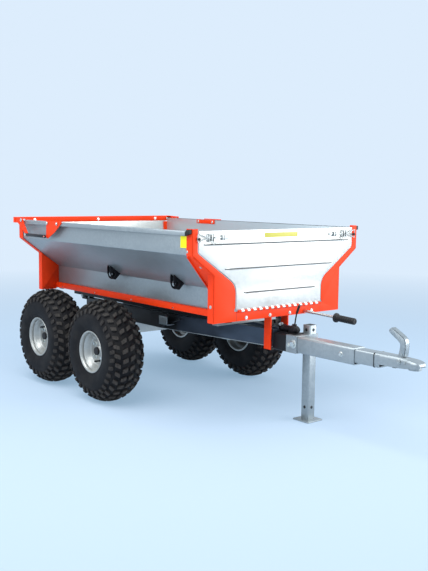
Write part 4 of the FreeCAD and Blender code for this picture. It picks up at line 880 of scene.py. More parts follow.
class TRAILER_OT_rear_frame(bpy.types.Operator):
    """Fold the red rear frame with the ears and pins that the tailgate hangs on."""
    bl_idname = "trailer.rear_frame"
    bl_label = "Rear frame"

    def execute(self, context):
        sizes = context.scene.trailer_sizes
        parts = [end_plate(BED_REAR, low("tailgate_beam").z - 5 * MM, FLOOR_TOP)]
        face = BED_REAR + FLANGE_DEPTH
        parts += both([flange(face, BED_REAR, sizes.fold), self.web(face)])
        x, z = BED_REAR + 81 * MM, BED_TOP - 12 * MM
        ear = fillet([(BED_REAR + PLATE, z - 33 * MM), (x + 22 * MM, z - 14 * MM), (x + 22 * MM, BED_TOP),
                      (BED_REAR + PLATE, BED_TOP)], 6 * MM, 5)
        parts += both([slab(ear, -HIGH_HALF - PLATE, -HIGH_HALF, "XZ")])
        piece("folded_rear_frame", parts, "red_paint", "bed", ("rear_frame",))
        end = high("rear_frame").y / MM
        profile = [(8, HIGH_HALF / MM), (8, end - 5), (11, end - 4.6), (11, end - 1), (9.5, end), (0.4, end)]
        pins = both([lathe(mm(profile) * (1, -1), (x, 0, z), "Y", 28)])
        skin = -HIGH_HALF + SHEET
        strip = block((STRIP_ENDS[0], skin, BED_TOP - 37 * MM),
                      (STRIP_ENDS[1], skin + 4 * MM, BED_TOP - 11 * MM), 1.5 * MM)
        piece("inner_backing_strips", both([strip]), "red_paint", "bed")
        heads = [bolt((at, skin + 4 * MM, BED_TOP - 24 * MM), (0, 1, 0), 11 * MM, 5 * MM)
                 for at in STRIP_BOLTS]
        piece("gate_pivot_pins", pins + both(heads), "zinc_plate", "bed")
        return {"FINISHED"}

    def web(self, face):
        """Close the frame's front between its flange and the side's slope."""
        sill, edge = LOW_HALF + 18 * MM, FRAME_LOW_HALF - MM
        outline = [(-sill, BED_FOOT), (-edge, BED_FOOT), (-edge, FRAME_LOW_KNEE), (-LOW_HALF, LOW_KNEE),
                   (-LOW_HALF, FLOOR_TOP), (-sill, FLOOR_TOP)]
        return slab(fillet(outline, 0.3 * MM, 3), face - PLATE, face, "YZ", 0.6 * MM)


class TRAILER_OT_side_panels(bpy.types.Operator):
    """Fold the galvanised side panels with their turned-out lips."""
    bl_idname = "trailer.side_panels"
    bl_label = "Side panels"

    def execute(self, context):
        fold = context.scene.trailer_sizes.fold
        top = BED_TOP - 10 * MM
        foot = BED_FOOT + 18 * MM
        inner_rise = SHEET * MITRE
        wall = [(-LOW_HALF, foot), (-LOW_HALF, LOW_KNEE, fold), (-HIGH_HALF, HIGH_KNEE, fold),
                (-HIGH_HALF, top), (-HIGH_HALF + SHEET, top),
                (-HIGH_HALF + SHEET, HIGH_KNEE + inner_rise, fold),
                (-LOW_HALF + SHEET, LOW_KNEE + inner_rise, fold), (-LOW_HALF + SHEET, foot)]
        out, drop = -HIGH_HALF - 23 * MM, top - 22 * MM
        lip = [(-HIGH_HALF + SHEET, top), (out, top, fold), (out, drop), (out + SHEET, drop),
               (out + SHEET, top - SHEET, fold - SHEET), (-HIGH_HALF + SHEET, top - SHEET)]
        runs = (wall, PLATE, PLATE), (lip, 109 * MM, 34 * MM)
        parts = [slab(fillet(outline, 0.4 * MM, 6), BED_REAR + rear, BED_FRONT - front, "YZ", 0.5 * MM, True)
                 for outline, rear, front in runs]
        piece("folded_side_right", parts, "galvanised", "bed", ("side_panel_right",))
        parts = [mirror(part) for part in parts]
        piece("folded_side_left", parts, "galvanised", "bed", ("side_panel_left",))
        return {"FINISHED"}


class TRAILER_OT_sills(bpy.types.Operator):
    """Roll the red channel sills along the foot of the sides, with their bolts."""
    bl_idname = "trailer.sills"
    bl_label = "Sills"

    def execute(self, context):
        a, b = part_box("bed_sills")
        outer, base, wall = b.y, a.z, 4 * MM
        channel = [(-LOW_HALF, base), (-outer, base, 5 * MM), (-outer, b.z, 5 * MM), (-LOW_HALF, b.z),
                   (-LOW_HALF, b.z - wall), (-outer + wall, b.z - wall, 2 * MM),
                   (-outer + wall, base + wall, 2 * MM), (-LOW_HALF, base + wall)]
        parts = both([slab(fillet(channel, 0.5 * MM, 5), a.x, b.x, "YZ")])
        piece("channel_sills", parts, "red_paint", "bed", ("bed_sills",))
        bolts = [bolt((x, -outer, base + 12 * MM), (0, -1, 0), 8 * MM, 3 * MM, False)
                 for x in np.linspace(a.x + 120 * MM, b.x - 60 * MM, 5)]
        piece("sill_bolts", both(bolts), "zinc_plate", "bed")
        return {"FINISHED"}


# the front gate's pressed creases, as (height, half length)
CREASES = ((900, 502), (780, 372), (660, 246))


class TRAILER_OT_front_gate(bpy.types.Operator):
    """Press the bright front gate with its three creases, hinge knuckles and blank label."""
    bl_idname = "trailer.front_gate"
    bl_label = "Front gate"

    def execute(self, context):
        gap = 6 * MM
        half, low_half, foot = MOUTH_HALF - gap, MOUTH_LOW_HALF - gap, GATE_AXIS[1]
        outline = [(-half, BED_TOP - 10 * MM, 3 * MM), (-half, MOUTH_HIGH_KNEE + gap / 2, 14 * MM),
                   (-low_half, MOUTH_LOW_KNEE + gap / 2, MOUTH_RADIUS + gap),
                   (-low_half, foot + 6 * MM, 2 * MM)]
        parts = [slab(fillet(twin(outline), MM, 8), BED_FRONT - GATE_SHEET, BED_FRONT, "YZ")]
        parts += [self.crease(height * MM, reach * MM) for height, reach in CREASES]
        parts += hinge_leaf(14, 5.7 * MM, (BED_FRONT - GATE_SHEET, foot + MM),
                            (GATE_AXIS[0] - 1 * MM, foot + 9 * MM))
        piece("pressed_front_gate", parts, "bright_galvanised", "front_gate", ("front_gate",))
        face = np.array([BED_FRONT, 0, 0])
        # Black strips along the creases: painted shade of the pressed creases.
        lines = [block(face + mm((-1, -reach, height - 1.4)), face + mm((4.8, reach, height + 2.2)), 0.3 * MM)
                 for height, reach in CREASES]
        piece("gate_crease_shadows", lines, "black_plastic", "front_gate")
        label = slab(rectangle(*mm((-118, 926, 115, 950, 1.5))), BED_FRONT - 0.5 * MM, BED_FRONT + 0.35 * MM,
                     "YZ", 0.1 * MM)
        piece("blank_label", [label], "label", "front_gate")
        return {"FINISHED"}

    def crease(self, height, reach):
        """Press one crease: out = depth cos^2 across its width, times a taper at its ends."""
        depth, half_width = 4 * MM, 6.5 * MM
        u = np.linspace(-1, 1, 41)
        v = np.linspace(-1, 1, 9)
        taper = np.clip((1 - np.abs(u)) * 12, 0, 1)[:, None]
        out = depth * np.cos(v * math.pi / 2)[None] ** 2 * taper
        y = np.broadcast_to((u * reach)[:, None], out.shape)
        z = height + np.broadcast_to((v * half_width)[None], out.shape)
        front = np.stack([BED_FRONT - 0.4 * MM + out, y, z], -1)
        back = front[:, 1:-1][:, ::-1].copy()
        back[..., 0] = BED_FRONT - 2 * MM
        return rings(np.concatenate([front, back], axis=1))


# the wire bail of a latch, as (across from the centreline, up from the latch's middle)
BAIL = [(-470, 4), (-498, 5), (-538, 20), (-545, 14), (-546, 0), (-545, -14), (-538, -20), (-498, -5),
        (-470, -4)]


class TRAILER_OT_latches(bpy.types.Operator):
    """Fit the toggle latches: wire bail, slotted bracket, draw bar, block and thumb plate; the slots are
    black strips of painted shade.
    """
    bl_idname = "trailer.latches"
    bl_label = "Latches"

    def execute(self, context):
        base = np.array([BED_FRONT, 0, BED_TOP - 42 * MM])

        def bar(outer, inner, half, depth, radius=1.0, lift=0.0):
            """Lay a bar across the gate, all its sizes in millimetres."""
            return block(base + mm((lift, outer, -half)), base + mm((lift + depth, inner, half)), radius * MM)

        parts = [bar(-488, -444, 15, 2.5), bar(-399, -379, 12, 11), bar(-379, -349, 8, 4),
                 bar(-444, -399, 3, 4, lift=4)]
        parts += [block(base + mm((0, -484, side * 15)), base + mm((14, -448, side * 18)), 1 * MM)
                  for side in (-1, 1)]
        path = smooth_path(base + mm([(8.5, y, up) for y, up in BAIL]), 8)
        parts.append(sweep(path, 2.3 * MM, 10, (1, 0, 0)))
        parts.append(sweep(circle(base + mm((6, -446, -24)), 8 * MM, "YZ"), 1.3 * MM, 8, (1, 0, 0)))
        piece("toggle_latches", both(parts), "steel", "front_gate", ("gate_latches",))
        pins = [lathe(mm([(2, -19), (2, 19)]), base + mm((9, y, 0)), "Z", 14) for y in (-470, -452)]
        # Black strips painted as the shade in the bracket's two slots and in the slot across the block.
        dark = [bar(-481, -479, 10, 1, 0.3, 2.2), bar(-461, -459, 10, 1, 0.3, 2.2),
                bar(-390, -387, 13, 2, 0.3, 10)]
        piece("latch_pins_and_slot_shade", both(pins + dark), "black_plastic", "front_gate")
        return {"FINISHED"}


# the half lengths of the tailgate's ribs, from the top down
RIB_REACHES = (500, 350, 300)


class TRAILER_OT_tailgate(bpy.types.Operator):
    """Hang the tailgate: a ribbed bright sheet under its red top beam and arms."""
    bl_idname = "trailer.tailgate"
    bl_label = "Tailgate"

    def execute(self, context):
        lap = 17 * MM
        a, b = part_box("tailgate")
        half, low_half = MOUTH_HALF + lap, MOUTH_LOW_HALF + lap
        outline = [(-half, b.z, 2 * MM), (-half, MOUTH_HIGH_KNEE - lap / 2, 20 * MM),
                   (-low_half, MOUTH_LOW_KNEE - lap / 2, MOUTH_RADIUS - lap), (-low_half, a.z, 4 * MM)]
        parts = [slab(fillet(twin(outline), MM, 8), b.x - GATE_SHEET, b.x, "YZ")]
        parts += [self.rib(turn, reach * MM, a.x, b.x) for turn, reach in enumerate(RIB_REACHES)]
        piece("ribbed_tailgate", parts, "bright_galvanised", "tailgate", ("tailgate",))
        c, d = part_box("tailgate_beam")
        beam = square_tube((c.x, c.z), (d.x, d.z), 3 * MM, (4 * MM, 2 * MM), c.y, d.y, "XZ", 4)
        plate = block((d.x - 0.2 * MM, -600 * MM, c.z + 2 * MM), (d.x + 2 * MM, -496 * MM, d.z - 4 * MM),
                      0.8 * MM)
        piece("tailgate_top_beam", [beam] + both([plate]), "red_paint", "tailgate", ("tailgate_beam",))
        bolts = [bolt((d.x + lift, y, BED_TOP - 14 * MM), (1, 0, 0), 12 * MM, 5 * MM)
                 for lift, y in ((2 * MM, -570 * MM), (0, -464 * MM), (0, 0))]
        piece("tailgate_bolts", both(bolts[:2]) + bolts[2:], "zinc_plate", "tailgate")
        return {"FINISHED"}

    def rib(self, turn, reach, rear, front):
        """Press a rib into the sheet: turn counts down from the top, rear and front are its depth in X."""
        foot = BED_TOP - 95 * MM - turn * (BED_TOP - 75 * MM - GATE_AXIS[1] - 88 * MM) / 2
        section = [(front - 2 * MM, foot - 2 * MM), (front - 3 * MM, foot - MM),
                   (rear, foot + 3 * MM, 4 * MM), (rear, foot + 17 * MM, 4 * MM),
                   (front - 3 * MM, foot + 21 * MM), (front - 2 * MM, foot + 22 * MM)]
        return slab(fillet(section, 0.5 * MM, 4), -reach, reach, "XZ", 3 * MM)


# a tie-down ear and its slot, as (along the slope, off it, own radius), and where the ears start
EAR = [(12, -2), (16, 22), (20, 46, 9), (44, 54, 22), (72, 36, 25), (92, 10, 8), (97, -2)]
SLOT = [(36, 22, 7), (38, 38, 8), (50, 43, 8), (63, 33, 8), (63, 19, 7), (50, 14, 8)]
EAR_STARTS = (0, 28, 598, 626)


class TRAILER_OT_tie_downs(bpy.types.Operator):
    """Cut the black tie-down lugs: two slotted ears each, square to the slope."""
    bl_idname = "trailer.tie_downs"
    bl_label = "Tie-down lugs"

    def execute(self, context):
        outer, slot = fillet(EAR, 2, 6) * MM, fillet(SLOT, 6, 6) * MM
        centre = slot.mean(0)
        loops = [self.even(outer, centre), self.even(slot, centre)]
        start = low("tie_down_lugs").x
        parts = [hollow(*loops, start + at * MM, start + (at + 5) * MM, "YZ", 1 * MM) for at in EAR_STARTS]
        piece("tie_down_ears", both(parts), "black_paint", "bed", ("tie_down_lugs",))
        return {"FINISHED"}

    def even(self, loop, centre):
        """Take 48 points of a loop at even angles about a centre, and stand them on the slope."""
        turn = np.linspace(0, 2 * math.pi, 48, endpoint=False) - math.pi
        angle = np.arctan2(*(loop - centre).T[::-1])
        order = np.argsort(angle)
        along, off = (np.interp(turn, angle[order], loop[order, k], period=2 * math.pi) for k in (0, 1))
        return on_slope(0 * turn, along, off)[:, 1:]


# ---------------------------------------------------------------- drawbar and its fittings

COUPLER_REAR = 1084 * MM
# the through bolt's place, and the clamp's bolts as (place, height, width, head)
CROSS_BOLT, CLAMP_BOLTS = 892 * MM, mm([(584, 405, 26, 11), (552, 396, 13, 4)])


class TRAILER_OT_drawbar(bpy.types.Operator):
    """Roll the drawbar: black sleeve, main tube and telescoping extension, with their bolts."""
    bl_idname = "trailer.drawbar"
    bl_label = "Drawbar"

    def execute(self, context):
        corner, wall = context.scene.trailer_sizes.corner, 5 * MM
        for name, node, finish in (("drawbar_main_tube", "drawbar_tube", "galvanised"),
                                   ("apex_sleeve", "drawbar_sleeve", "black_paint")):
            a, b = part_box(node)
            tube = square_tube((a.y, a.z), (b.y, b.z), wall, (corner, max(corner - wall, MM)), a.x, b.x)
            piece(name, [tube], finish, "chassis", (node,))
        c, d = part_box("drawbar_extension")
        slide = square_tube((c.y, c.z), (d.y, d.z), wall, (7 * MM, 3 * MM), c.x, COUPLER_REAR + 26 * MM)
        piece("drawbar_slide_tube", [slide], "galvanised", "chassis", ("drawbar_extension",))
        a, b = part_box("drawbar_tube")
        middle, clamp = (a.z + b.z) / 2, low("drawbar_clamp").y
        bolts = [bolt((CROSS_BOLT, y, middle), (0, math.copysign(1, y), 0), 15 * MM, 8 * MM)
                 for y in (a.y, b.y)]
        bolts += [bolt((x, clamp, z), (0, -1, 0), across, head) for x, z, across, head in CLAMP_BOLTS]
        piece("drawbar_bolts", bolts, "zinc_plate", "chassis")
        return {"FINISHED"}


# the coupler's housing from its rear end to the nose, as (place, half width, foot, top)
COUPLER = [(1084, 37, 391, 441), (1092, 35.5, 391, 440.5), (1130, 35, 391, 440.5), (1175, 33, 391, 440.5),
           (1205, 31.5, 391.5, 440), (1232, 32, 393, 438.5), (1252, 34, 395, 437), (1268, 36.5, 397, 435.5),
           (1284, 38, 399, 433.5), (1298, 37, 401, 431), (1309, 33.5, 402.5, 427.5), (1316, 28.5, 404, 423.5),
           (1320.4, 21, 406, 418.5), (1322.3, 12, 409, 413.5)]
# the ball cup as (radius, height), and the handle's front and rear edges as (place, height)
CUP = [(25.4, 391.2), (25.4, 402), (24, 409), (19, 415), (11, 418.5), (0.4, 419.5), (0.4, 422), (13, 421),
       (22, 417), (27.5, 409.5), (29, 402), (29, 391.2)]
HANDLE_FRONT = [(1232, 443), (1236, 476), (1236, 503), (1230, 519), (1210, 534), (1184, 548), (1158, 562)]
HANDLE_REAR = [(1146, 552), (1147, 541), (1174, 522), (1198, 506), (1208, 492), (1205, 468), (1199, 444)]
# the pivot pins as (place, height, radius, half length), and the side bolts as (place, height, width)
COUPLER_PINS = mm([(1218, 450, 5, 17), (1229, 508, 4, 16)])
COUPLER_BOLTS = mm([(1217, 420, 13), (1252, 422, 10)])


class TRAILER_OT_coupler(bpy.types.Operator):
    """Press the ball coupler: an open shell with its ball cup, and the bent handle on its pivot."""
    bl_idname = "trailer.coupler"
    bl_label = "Ball coupler"

    def execute(self, context):
        nose = high("ball_coupler").x - 41 * MM
        parts = [self.shell(), lathe(mm(CUP), (nose, 0, 0), "Z", 40, close=True)]
        piece("pressed_coupler", parts, "galvanised", "chassis", ("ball_coupler",))
        piece("coupler_lever", self.lever(), "galvanised", "chassis", ("coupler_handle",))
        pins = [pin(radius, -half, half, (x, 0, z), "Y") for x, z, radius, half in COUPLER_PINS]
        bolts = [bolt((x, -34 * MM, z), (0, -1, 0), across, 4 * MM) for x, z, across in COUPLER_BOLTS]
        piece("coupler_pins", pins + both(bolts), "steel", "chassis")
        stop = block(mm((1180, -30, 388)), mm((1200, -14, 393)), 2 * MM)
        piece("coupler_stop", [stop, self.ring(COUPLER_REAR - 3 * MM)], "black_plastic", "chassis")
        return {"FINISHED"}

    def shell(self):
        """Skin the housing: each station is an arch with rounded shoulders and a wall 3 mm thick."""
        def arch(half, foot, top, radius):
            """Give one side of the sheet, up over the shoulders and down again."""
            corners = [(half, foot), (half, top, radius), (-half, top, radius), (-half, foot)]
            return fillet(corners, 0.01 * MM, 8)

        stack = []
        for x, half, foot, top in smooth_path(mm(COUPLER), 4):
            rise = top - foot
            wall = min(3 * MM, half / 3, rise / 3)
            outer = arch(half, foot, top, min(15 * MM, 0.42 * rise))
            inner = arch(half - wall, foot, top - wall, min(12 * MM, 0.36 * rise))
            stack.append(np.column_stack([np.full(2 * len(outer), x), np.vstack([outer, inner[::-1]])]))
        return rings(np.array(stack), folded=True)

    def lever(self):
        """Bend the handle: a top strip along its front edge, two cheeks and a ring at its end."""
        half, sheet, soft = 14 * MM, 2.6 * MM, 0.6 * MM
        path = smooth_path(mm(HANDLE_FRONT), 6)
        slope = np.gradient(path, axis=0)
        slope /= np.linalg.norm(slope, axis=1)[:, None]
        inside = path + np.column_stack([-slope[:, 1], slope[:, 0]]) * sheet
        made = [slab(np.vstack([path, inside[::-1]]), -half, half, "XZ", soft)]
        cheek = np.vstack([path, smooth_path(mm(HANDLE_REAR), 5)])
        made += both([slab(cheek, -half, -half + sheet, "XZ", soft)])
        return made + [sweep(circle(mm((1155, 0, 549)), 7.5 * MM, "XZ"), 3 * MM, 8)]

    def ring(self, start):
        """Fit a dark ring where the housing meets the sliding tube."""
        c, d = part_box("drawbar_extension")
        outer = rectangle(c.y - 2.5 * MM, c.z - 2 * MM, d.y + 2.5 * MM, d.z + 2 * MM, 8 * MM, 6)
        return hollow(outer, rectangle(c.y, c.z, d.y, d.z, 7 * MM, 6), start, start + 5 * MM, "YZ", 0.6 * MM)


# the pump's body and the fitting on it as (radius, place), its lever's path, and the lever's radius at
# some heights
PUMP_BODY = [(0.4, 443.2), (15, 443.2), (18.5, 445), (19.6, 448), (19.6, 468), (17, 472), (16.4, 476),
             (16.4, 514), (17.5, 518), (20, 521), (20, 553), (18.5, 557), (14, 559), (13, 562), (13, 566),
             (10, 568), (0.4, 568)]
PUMP_FITTING = [(0.4, -6), (6, -6), (6, 8), (4, 10), (0.4, 10)]
PUMP_LEVER = [(529, 19, 474), (533, 19, 500), (541, 19, 540), (552, 19, 570), (563, 19, 594)]
LEVER_HEIGHTS, LEVER_RADII = mm([474, 545, 552, 590, 594]), mm([3.6, 3.6, 6.4, 6.4, 4.5])


class TRAILER_OT_pump(bpy.types.Operator):
    """Turn the hand pump with its plate, fitting and lever."""
    bl_idname = "trailer.pump"
    bl_label = "Hand pump"

    def execute(self, context):
        a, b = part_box("hand_pump")
        y, z = 10 * MM, a.z + 20 * MM
        parts = [slab(rectangle(a.x, -22 * MM, b.x, 42 * MM, 8 * MM), a.z, a.z + 4 * MM, "XY", MM),
                 lathe(mm(PUMP_BODY), (0, y, z), "X", 36),
                 block((512 * MM, y - 18 * MM, a.z + 3 * MM), (548 * MM, y + 18 * MM, z), 3 * MM),
                 block((518 * MM, y + MM, z + 14 * MM), (540 * MM, y + 17 * MM, z + 26 * MM), 3 * MM)]
        piece("pump_housing", parts, "black_paint", "chassis", ("hand_pump",))
        path = smooth_path(mm(PUMP_LEVER), 8)
        lever = sweep(path, np.interp(path[:, 2], LEVER_HEIGHTS, LEVER_RADII), 16)
        piece("pump_lever_and_grip", [lever], "black_plastic", "chassis", ("pump_lever",))
        union = bolt((0, 0, 0), (0, 0, 1), 14 * MM, 12 * MM, False)
        fitting = [turned(union, (452 * MM, -2 * MM, z + 14 * MM), (-0.3, -0.5, 0.8)),
                   lathe(mm(PUMP_FITTING), (456 * MM, -2 * MM, z + 22 * MM), "X", 18)]
        piece("pump_fitting", fitting, "steel", "chassis")
        return {"FINISHED"}


# the tipping handle's rod and the ends of its grip as (radius, place along it), where the grip's ribs stand,
# and one rib from its place
HANDLE_ROD = [(0.4, 0), (9, 0), (9, 3), (8.4, 5), (8.4, 62), (6.6, 66), (6.6, 214), (0.4, 214)]
GRIP_FLANGE = [(0.4, 214), (20, 214), (23.6, 216), (24, 220), (23.4, 225), (20, 227.5), (17.5, 229)]
GRIP_END = [(16.8, 334), (16.2, 339), (13.5, 342), (9, 342.6), (8, 341), (0.4, 341)]
GRIP_RIBS, GRIP_RIB = range(233, 331, 14), [(16.6, 0), (16.8, 6), (14.6, 8), (14.6, 11), (16.6, 13)]


class TRAILER_OT_tip_handle(bpy.types.Operator):
    """Turn the tipping handle: a plated rod with its flanged and ribbed rubber grip."""
    bl_idname = "trailer.tip_handle"
    bl_label = "Tipping handle"

    def execute(self, context):
        start = low("handle_rod").x
        top = high("handle_rod").z - 11 * MM
        tilt = math.radians(2.2)
        along = (math.cos(tilt), 0, -math.sin(tilt))
        ribs = [(radius, at + rise) for at in GRIP_RIBS for radius, rise in GRIP_RIB]
        rod, grip = (turned(lathe(mm(profile), (0, 0, 0), "Z", 36), (start, 180 * MM, top), along)
                     for profile in (HANDLE_ROD, GRIP_FLANGE + ribs + GRIP_END))
        piece("tip_handle_rod", [rod], "zinc_plate", "bed", ("handle_rod",))
        piece("tip_handle_grip", [grip], "black_plastic", "bed", ("handle_grip",))
        return {"FINISHED"}


# a strut's tube as (radius, place from its rear end)
STRUT_TUBE = [(4, 0), (8, 0.5), (9, 2), (9, 212), (8.4, 216), (7, 219), (5, 220), (5, 232), (0.4, 233)]
STRUT_EYE, STRUT_ROD, STRUT_ROD_LENGTH = 9 * MM, 4.8 * MM, 196 * MM


class TRAILER_OT_struts(bpy.types.Operator):
    """Turn the tailgate's struts: dark tubes, bright rods and the bolts at their eyes."""
    bl_idname = "trailer.struts"
    bl_label = "Struts"

    def execute(self, context):
        for side in ("left", "right"):
            tube, rod = f"strut_tube_{side}", f"strut_rod_{side}"
            a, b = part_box(tube)
            y, z = (a.y + b.y) / 2, (a.z + b.z) / 2
            parts = [lathe(mm(STRUT_TUBE) + (0, a.x), (0, y, z), "X", 24), self.eye(b.x - STRUT_EYE, y, z)]
            piece(f"strut_cylinder_{side}", parts, "black_paint", tube, (tube,))
            start = low(rod).x + STRUT_EYE
            parts = [pin(STRUT_ROD, start, start + STRUT_ROD_LENGTH, (0, y, z), "X"), self.eye(start, y, z)]
            piece(f"strut_piston_rod_{side}", parts, "zinc_plate", rod, (rod,))
        bolts = [bolt(mm((x, -599, 955)), (0, -1, 0), 11 * MM, 5 * MM) for x in (-890, -775)]
        outer = low("strut_brackets").y
        bolts.append(bolt((-899.5 * MM, outer + 1.5 * MM, 878 * MM), (0, -1, 0), 10 * MM, 1.4 * MM, False))
        piece("bracket_bolts", both(bolts), "zinc_plate", "bed")
        return {"FINISHED"}

    def eye(self, *centre):
        """Turn the eye at a strut's end."""
        return pin(STRUT_EYE, -4 * MM, 4 * MM, centre, "Y", 24, 4 * MM)


# the black disc painted as the shade in a pin hole, as (radius, height above the post's face), and the holes'
# heights
HOLE_SHADE_DISC, HOLE_HEIGHTS = [(8.2, -1), (8.2, 0.12), (8, 0.22), (0.3, 0.22)], (70, 466)


class TRAILER_OT_jack(bpy.types.Operator):
    """Make the parking jack: a square post on its foot plate, with black discs of painted shade where its pin
    holes are.
    """
    bl_idname = "trailer.jack"
    bl_label = "Jack"

    def execute(self, context):
        a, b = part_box("jack_leg")
        x, y, half, foot = (a.x + b.x) / 2, (a.y + b.y) / 2, 25 * MM, 6 * MM
        parts = [square_tube((x - half, y - half), (x + half, y + half), 3 * MM, (6 * MM, 3 * MM),
                             foot - 0.5 * MM, b.z, "XY", 5),
                 slab(rectangle(a.x, a.y, b.x, b.y, 8 * MM), 0, foot, "XY", 1.2 * MM)]
        piece("jack_post", parts, "galvanised", "jack", ("jack_leg",))
        # Each pin hole is a thin black disc on the post's face: painted shade, not a cut hole.
        rim = lathe(mm(HOLE_SHADE_DISC), (0, 0, 0), "Z", 24)
        hole_shade_discs = [turned(rim, (x + out[0] * half, y + out[1] * half, height * MM), out)
                 for height in HOLE_HEIGHTS for side in (-1, 1) for out in ((0, side, 0), (side, 0, 0))]
        piece("jack_pin_hole_shade", hole_shade_discs, "black_plastic", "jack")
        return {"FINISHED"}


def dress_nodes(names, edge):
    """Give CAD nodes their finish, and break their edges with a small bevel."""
    for name in names:
        item = FRAME["nodes"][name]
        item.data.materials.clear()
        # The chassis rails take the rail finish, which carries painted shade.
        item.data.materials.append(finish_of("rail_painted_shade" if name == "chassis_rails" else SLOT_OF[name]))
        weld = item.modifiers.new("weld", "WELD")
        weld.merge_threshold = 0.01 * MM
        bevel = item.modifiers.new("bevel", "BEVEL")
        bevel.width, bevel.segments = edge, 2
        bevel.limit_method, bevel.angle_limit = "ANGLE", math.radians(32)


# where a rail's bright edge ends, how high it runs and how far it stands from the middle in front, the corner
# that a bracket's three plates share with the corner opposite in each, and the prop bar's path
EDGE_ENDS, EDGE_HEIGHT, EDGE_FRONT_HALF = (-336.5, 442), 371.5, 45.5
BRACKET_CORNER, BRACKET_PLATES = (-313, -212, 403), ((-308, -158, 452), (-237, -207, 452), (-237, -158, 408))
PROP_BAR = [(-350, -168, 381), (-336, -168, 386), (-170, -168, 446)]


class TRAILER_OT_underframe(bpy.types.Operator):
    """Add the rails' bright lower edges, the brackets at their bend and the black prop bar."""
    bl_idname = "trailer.underframe"
    bl_label = "Underframe details"

    def execute(self, context):
        halves = low("chassis_rails").y / MM - 0.5, -EDGE_FRONT_HALF
        path = mm([(x, y, EDGE_HEIGHT) for x, y in zip(EDGE_ENDS, halves)])
        edges = both([sweep(path, 2 * MM, 8, (0, 0, 1))])
        bracket = [block(mm(BRACKET_CORNER), mm(opposite), 1 * MM) for opposite in BRACKET_PLATES]
        piece("rail_edges_and_brackets", edges + both(bracket), "galvanised", "chassis")
        piece("prop_bar", [sweep(mm(PROP_BAR), 6 * MM, 12)], "black_paint", "chassis")
        return {"FINISHED"}


class TRAILER_OT_frame_nodes(bpy.types.Operator):
    """Give the CAD pieces that stay their own finishes."""
    bl_idname = "trailer.frame_nodes"
    bl_label = "Chassis and small pieces"

    def execute(self, context):
        dress_nodes([name for name, item in FRAME["nodes"].items() if not item.hide_render],
                    context.scene.trailer_sizes.edge)
        return {"FINISHED"}


# ---------------------------------------------------------------- stage

CAMERA = {"place": (3.3909, -2.8937, 1.1388), "look": (-0.76365, 0.63588, -0.11180), "roll": 0.0126,
          "lens": 51.56}
# the lamps, as (name, place, target, size, watts)
LAMPS = [("front_softbox", (3.1, 2.3, 1.5), (0.4, 0, 0.6), (3.2, 2.6), 135),
         ("overhead_softbox", (0.2, -1.4, 3.4), (0, 0.3, 0.6), (3.6, 2.8), 125),
         ("side_softbox", (-0.6, -4.4, 2.2), (-0.2, 0, 0.5), (4.0, 2.2), 52)]
# the share of the floor's tint that the camera and gloss see, and where the floor fades to the backdrop
FLOOR_TINT, FADE_START, FADE_END = 0.6, 2.2, 8.0


def soft_lamp(name, place, target, size, watts):
    """Hang an area lamp that faces a target."""
    lamp = bpy.data.lights.new(name, "AREA")
    lamp.shape = "RECTANGLE"
    lamp.size, lamp.size_y = size
    lamp.energy = watts
    item = bpy.data.objects.new(name, lamp)
    item.rotation_euler = (Vector(place) - Vector(target)).to_track_quat("Z", "Y").to_euler()
    item.location = place
    item.visible_camera = False
    bpy.context.scene.collection.objects.link(item)


def direct_ray(tree):
    """Give 1 for the rays of the camera and of gloss, and 0 for all others."""
    path = add(tree, "LightPath").outputs
    return combine(tree, "MAXIMUM", path["Is Camera Ray"], path["Is Glossy Ray"])


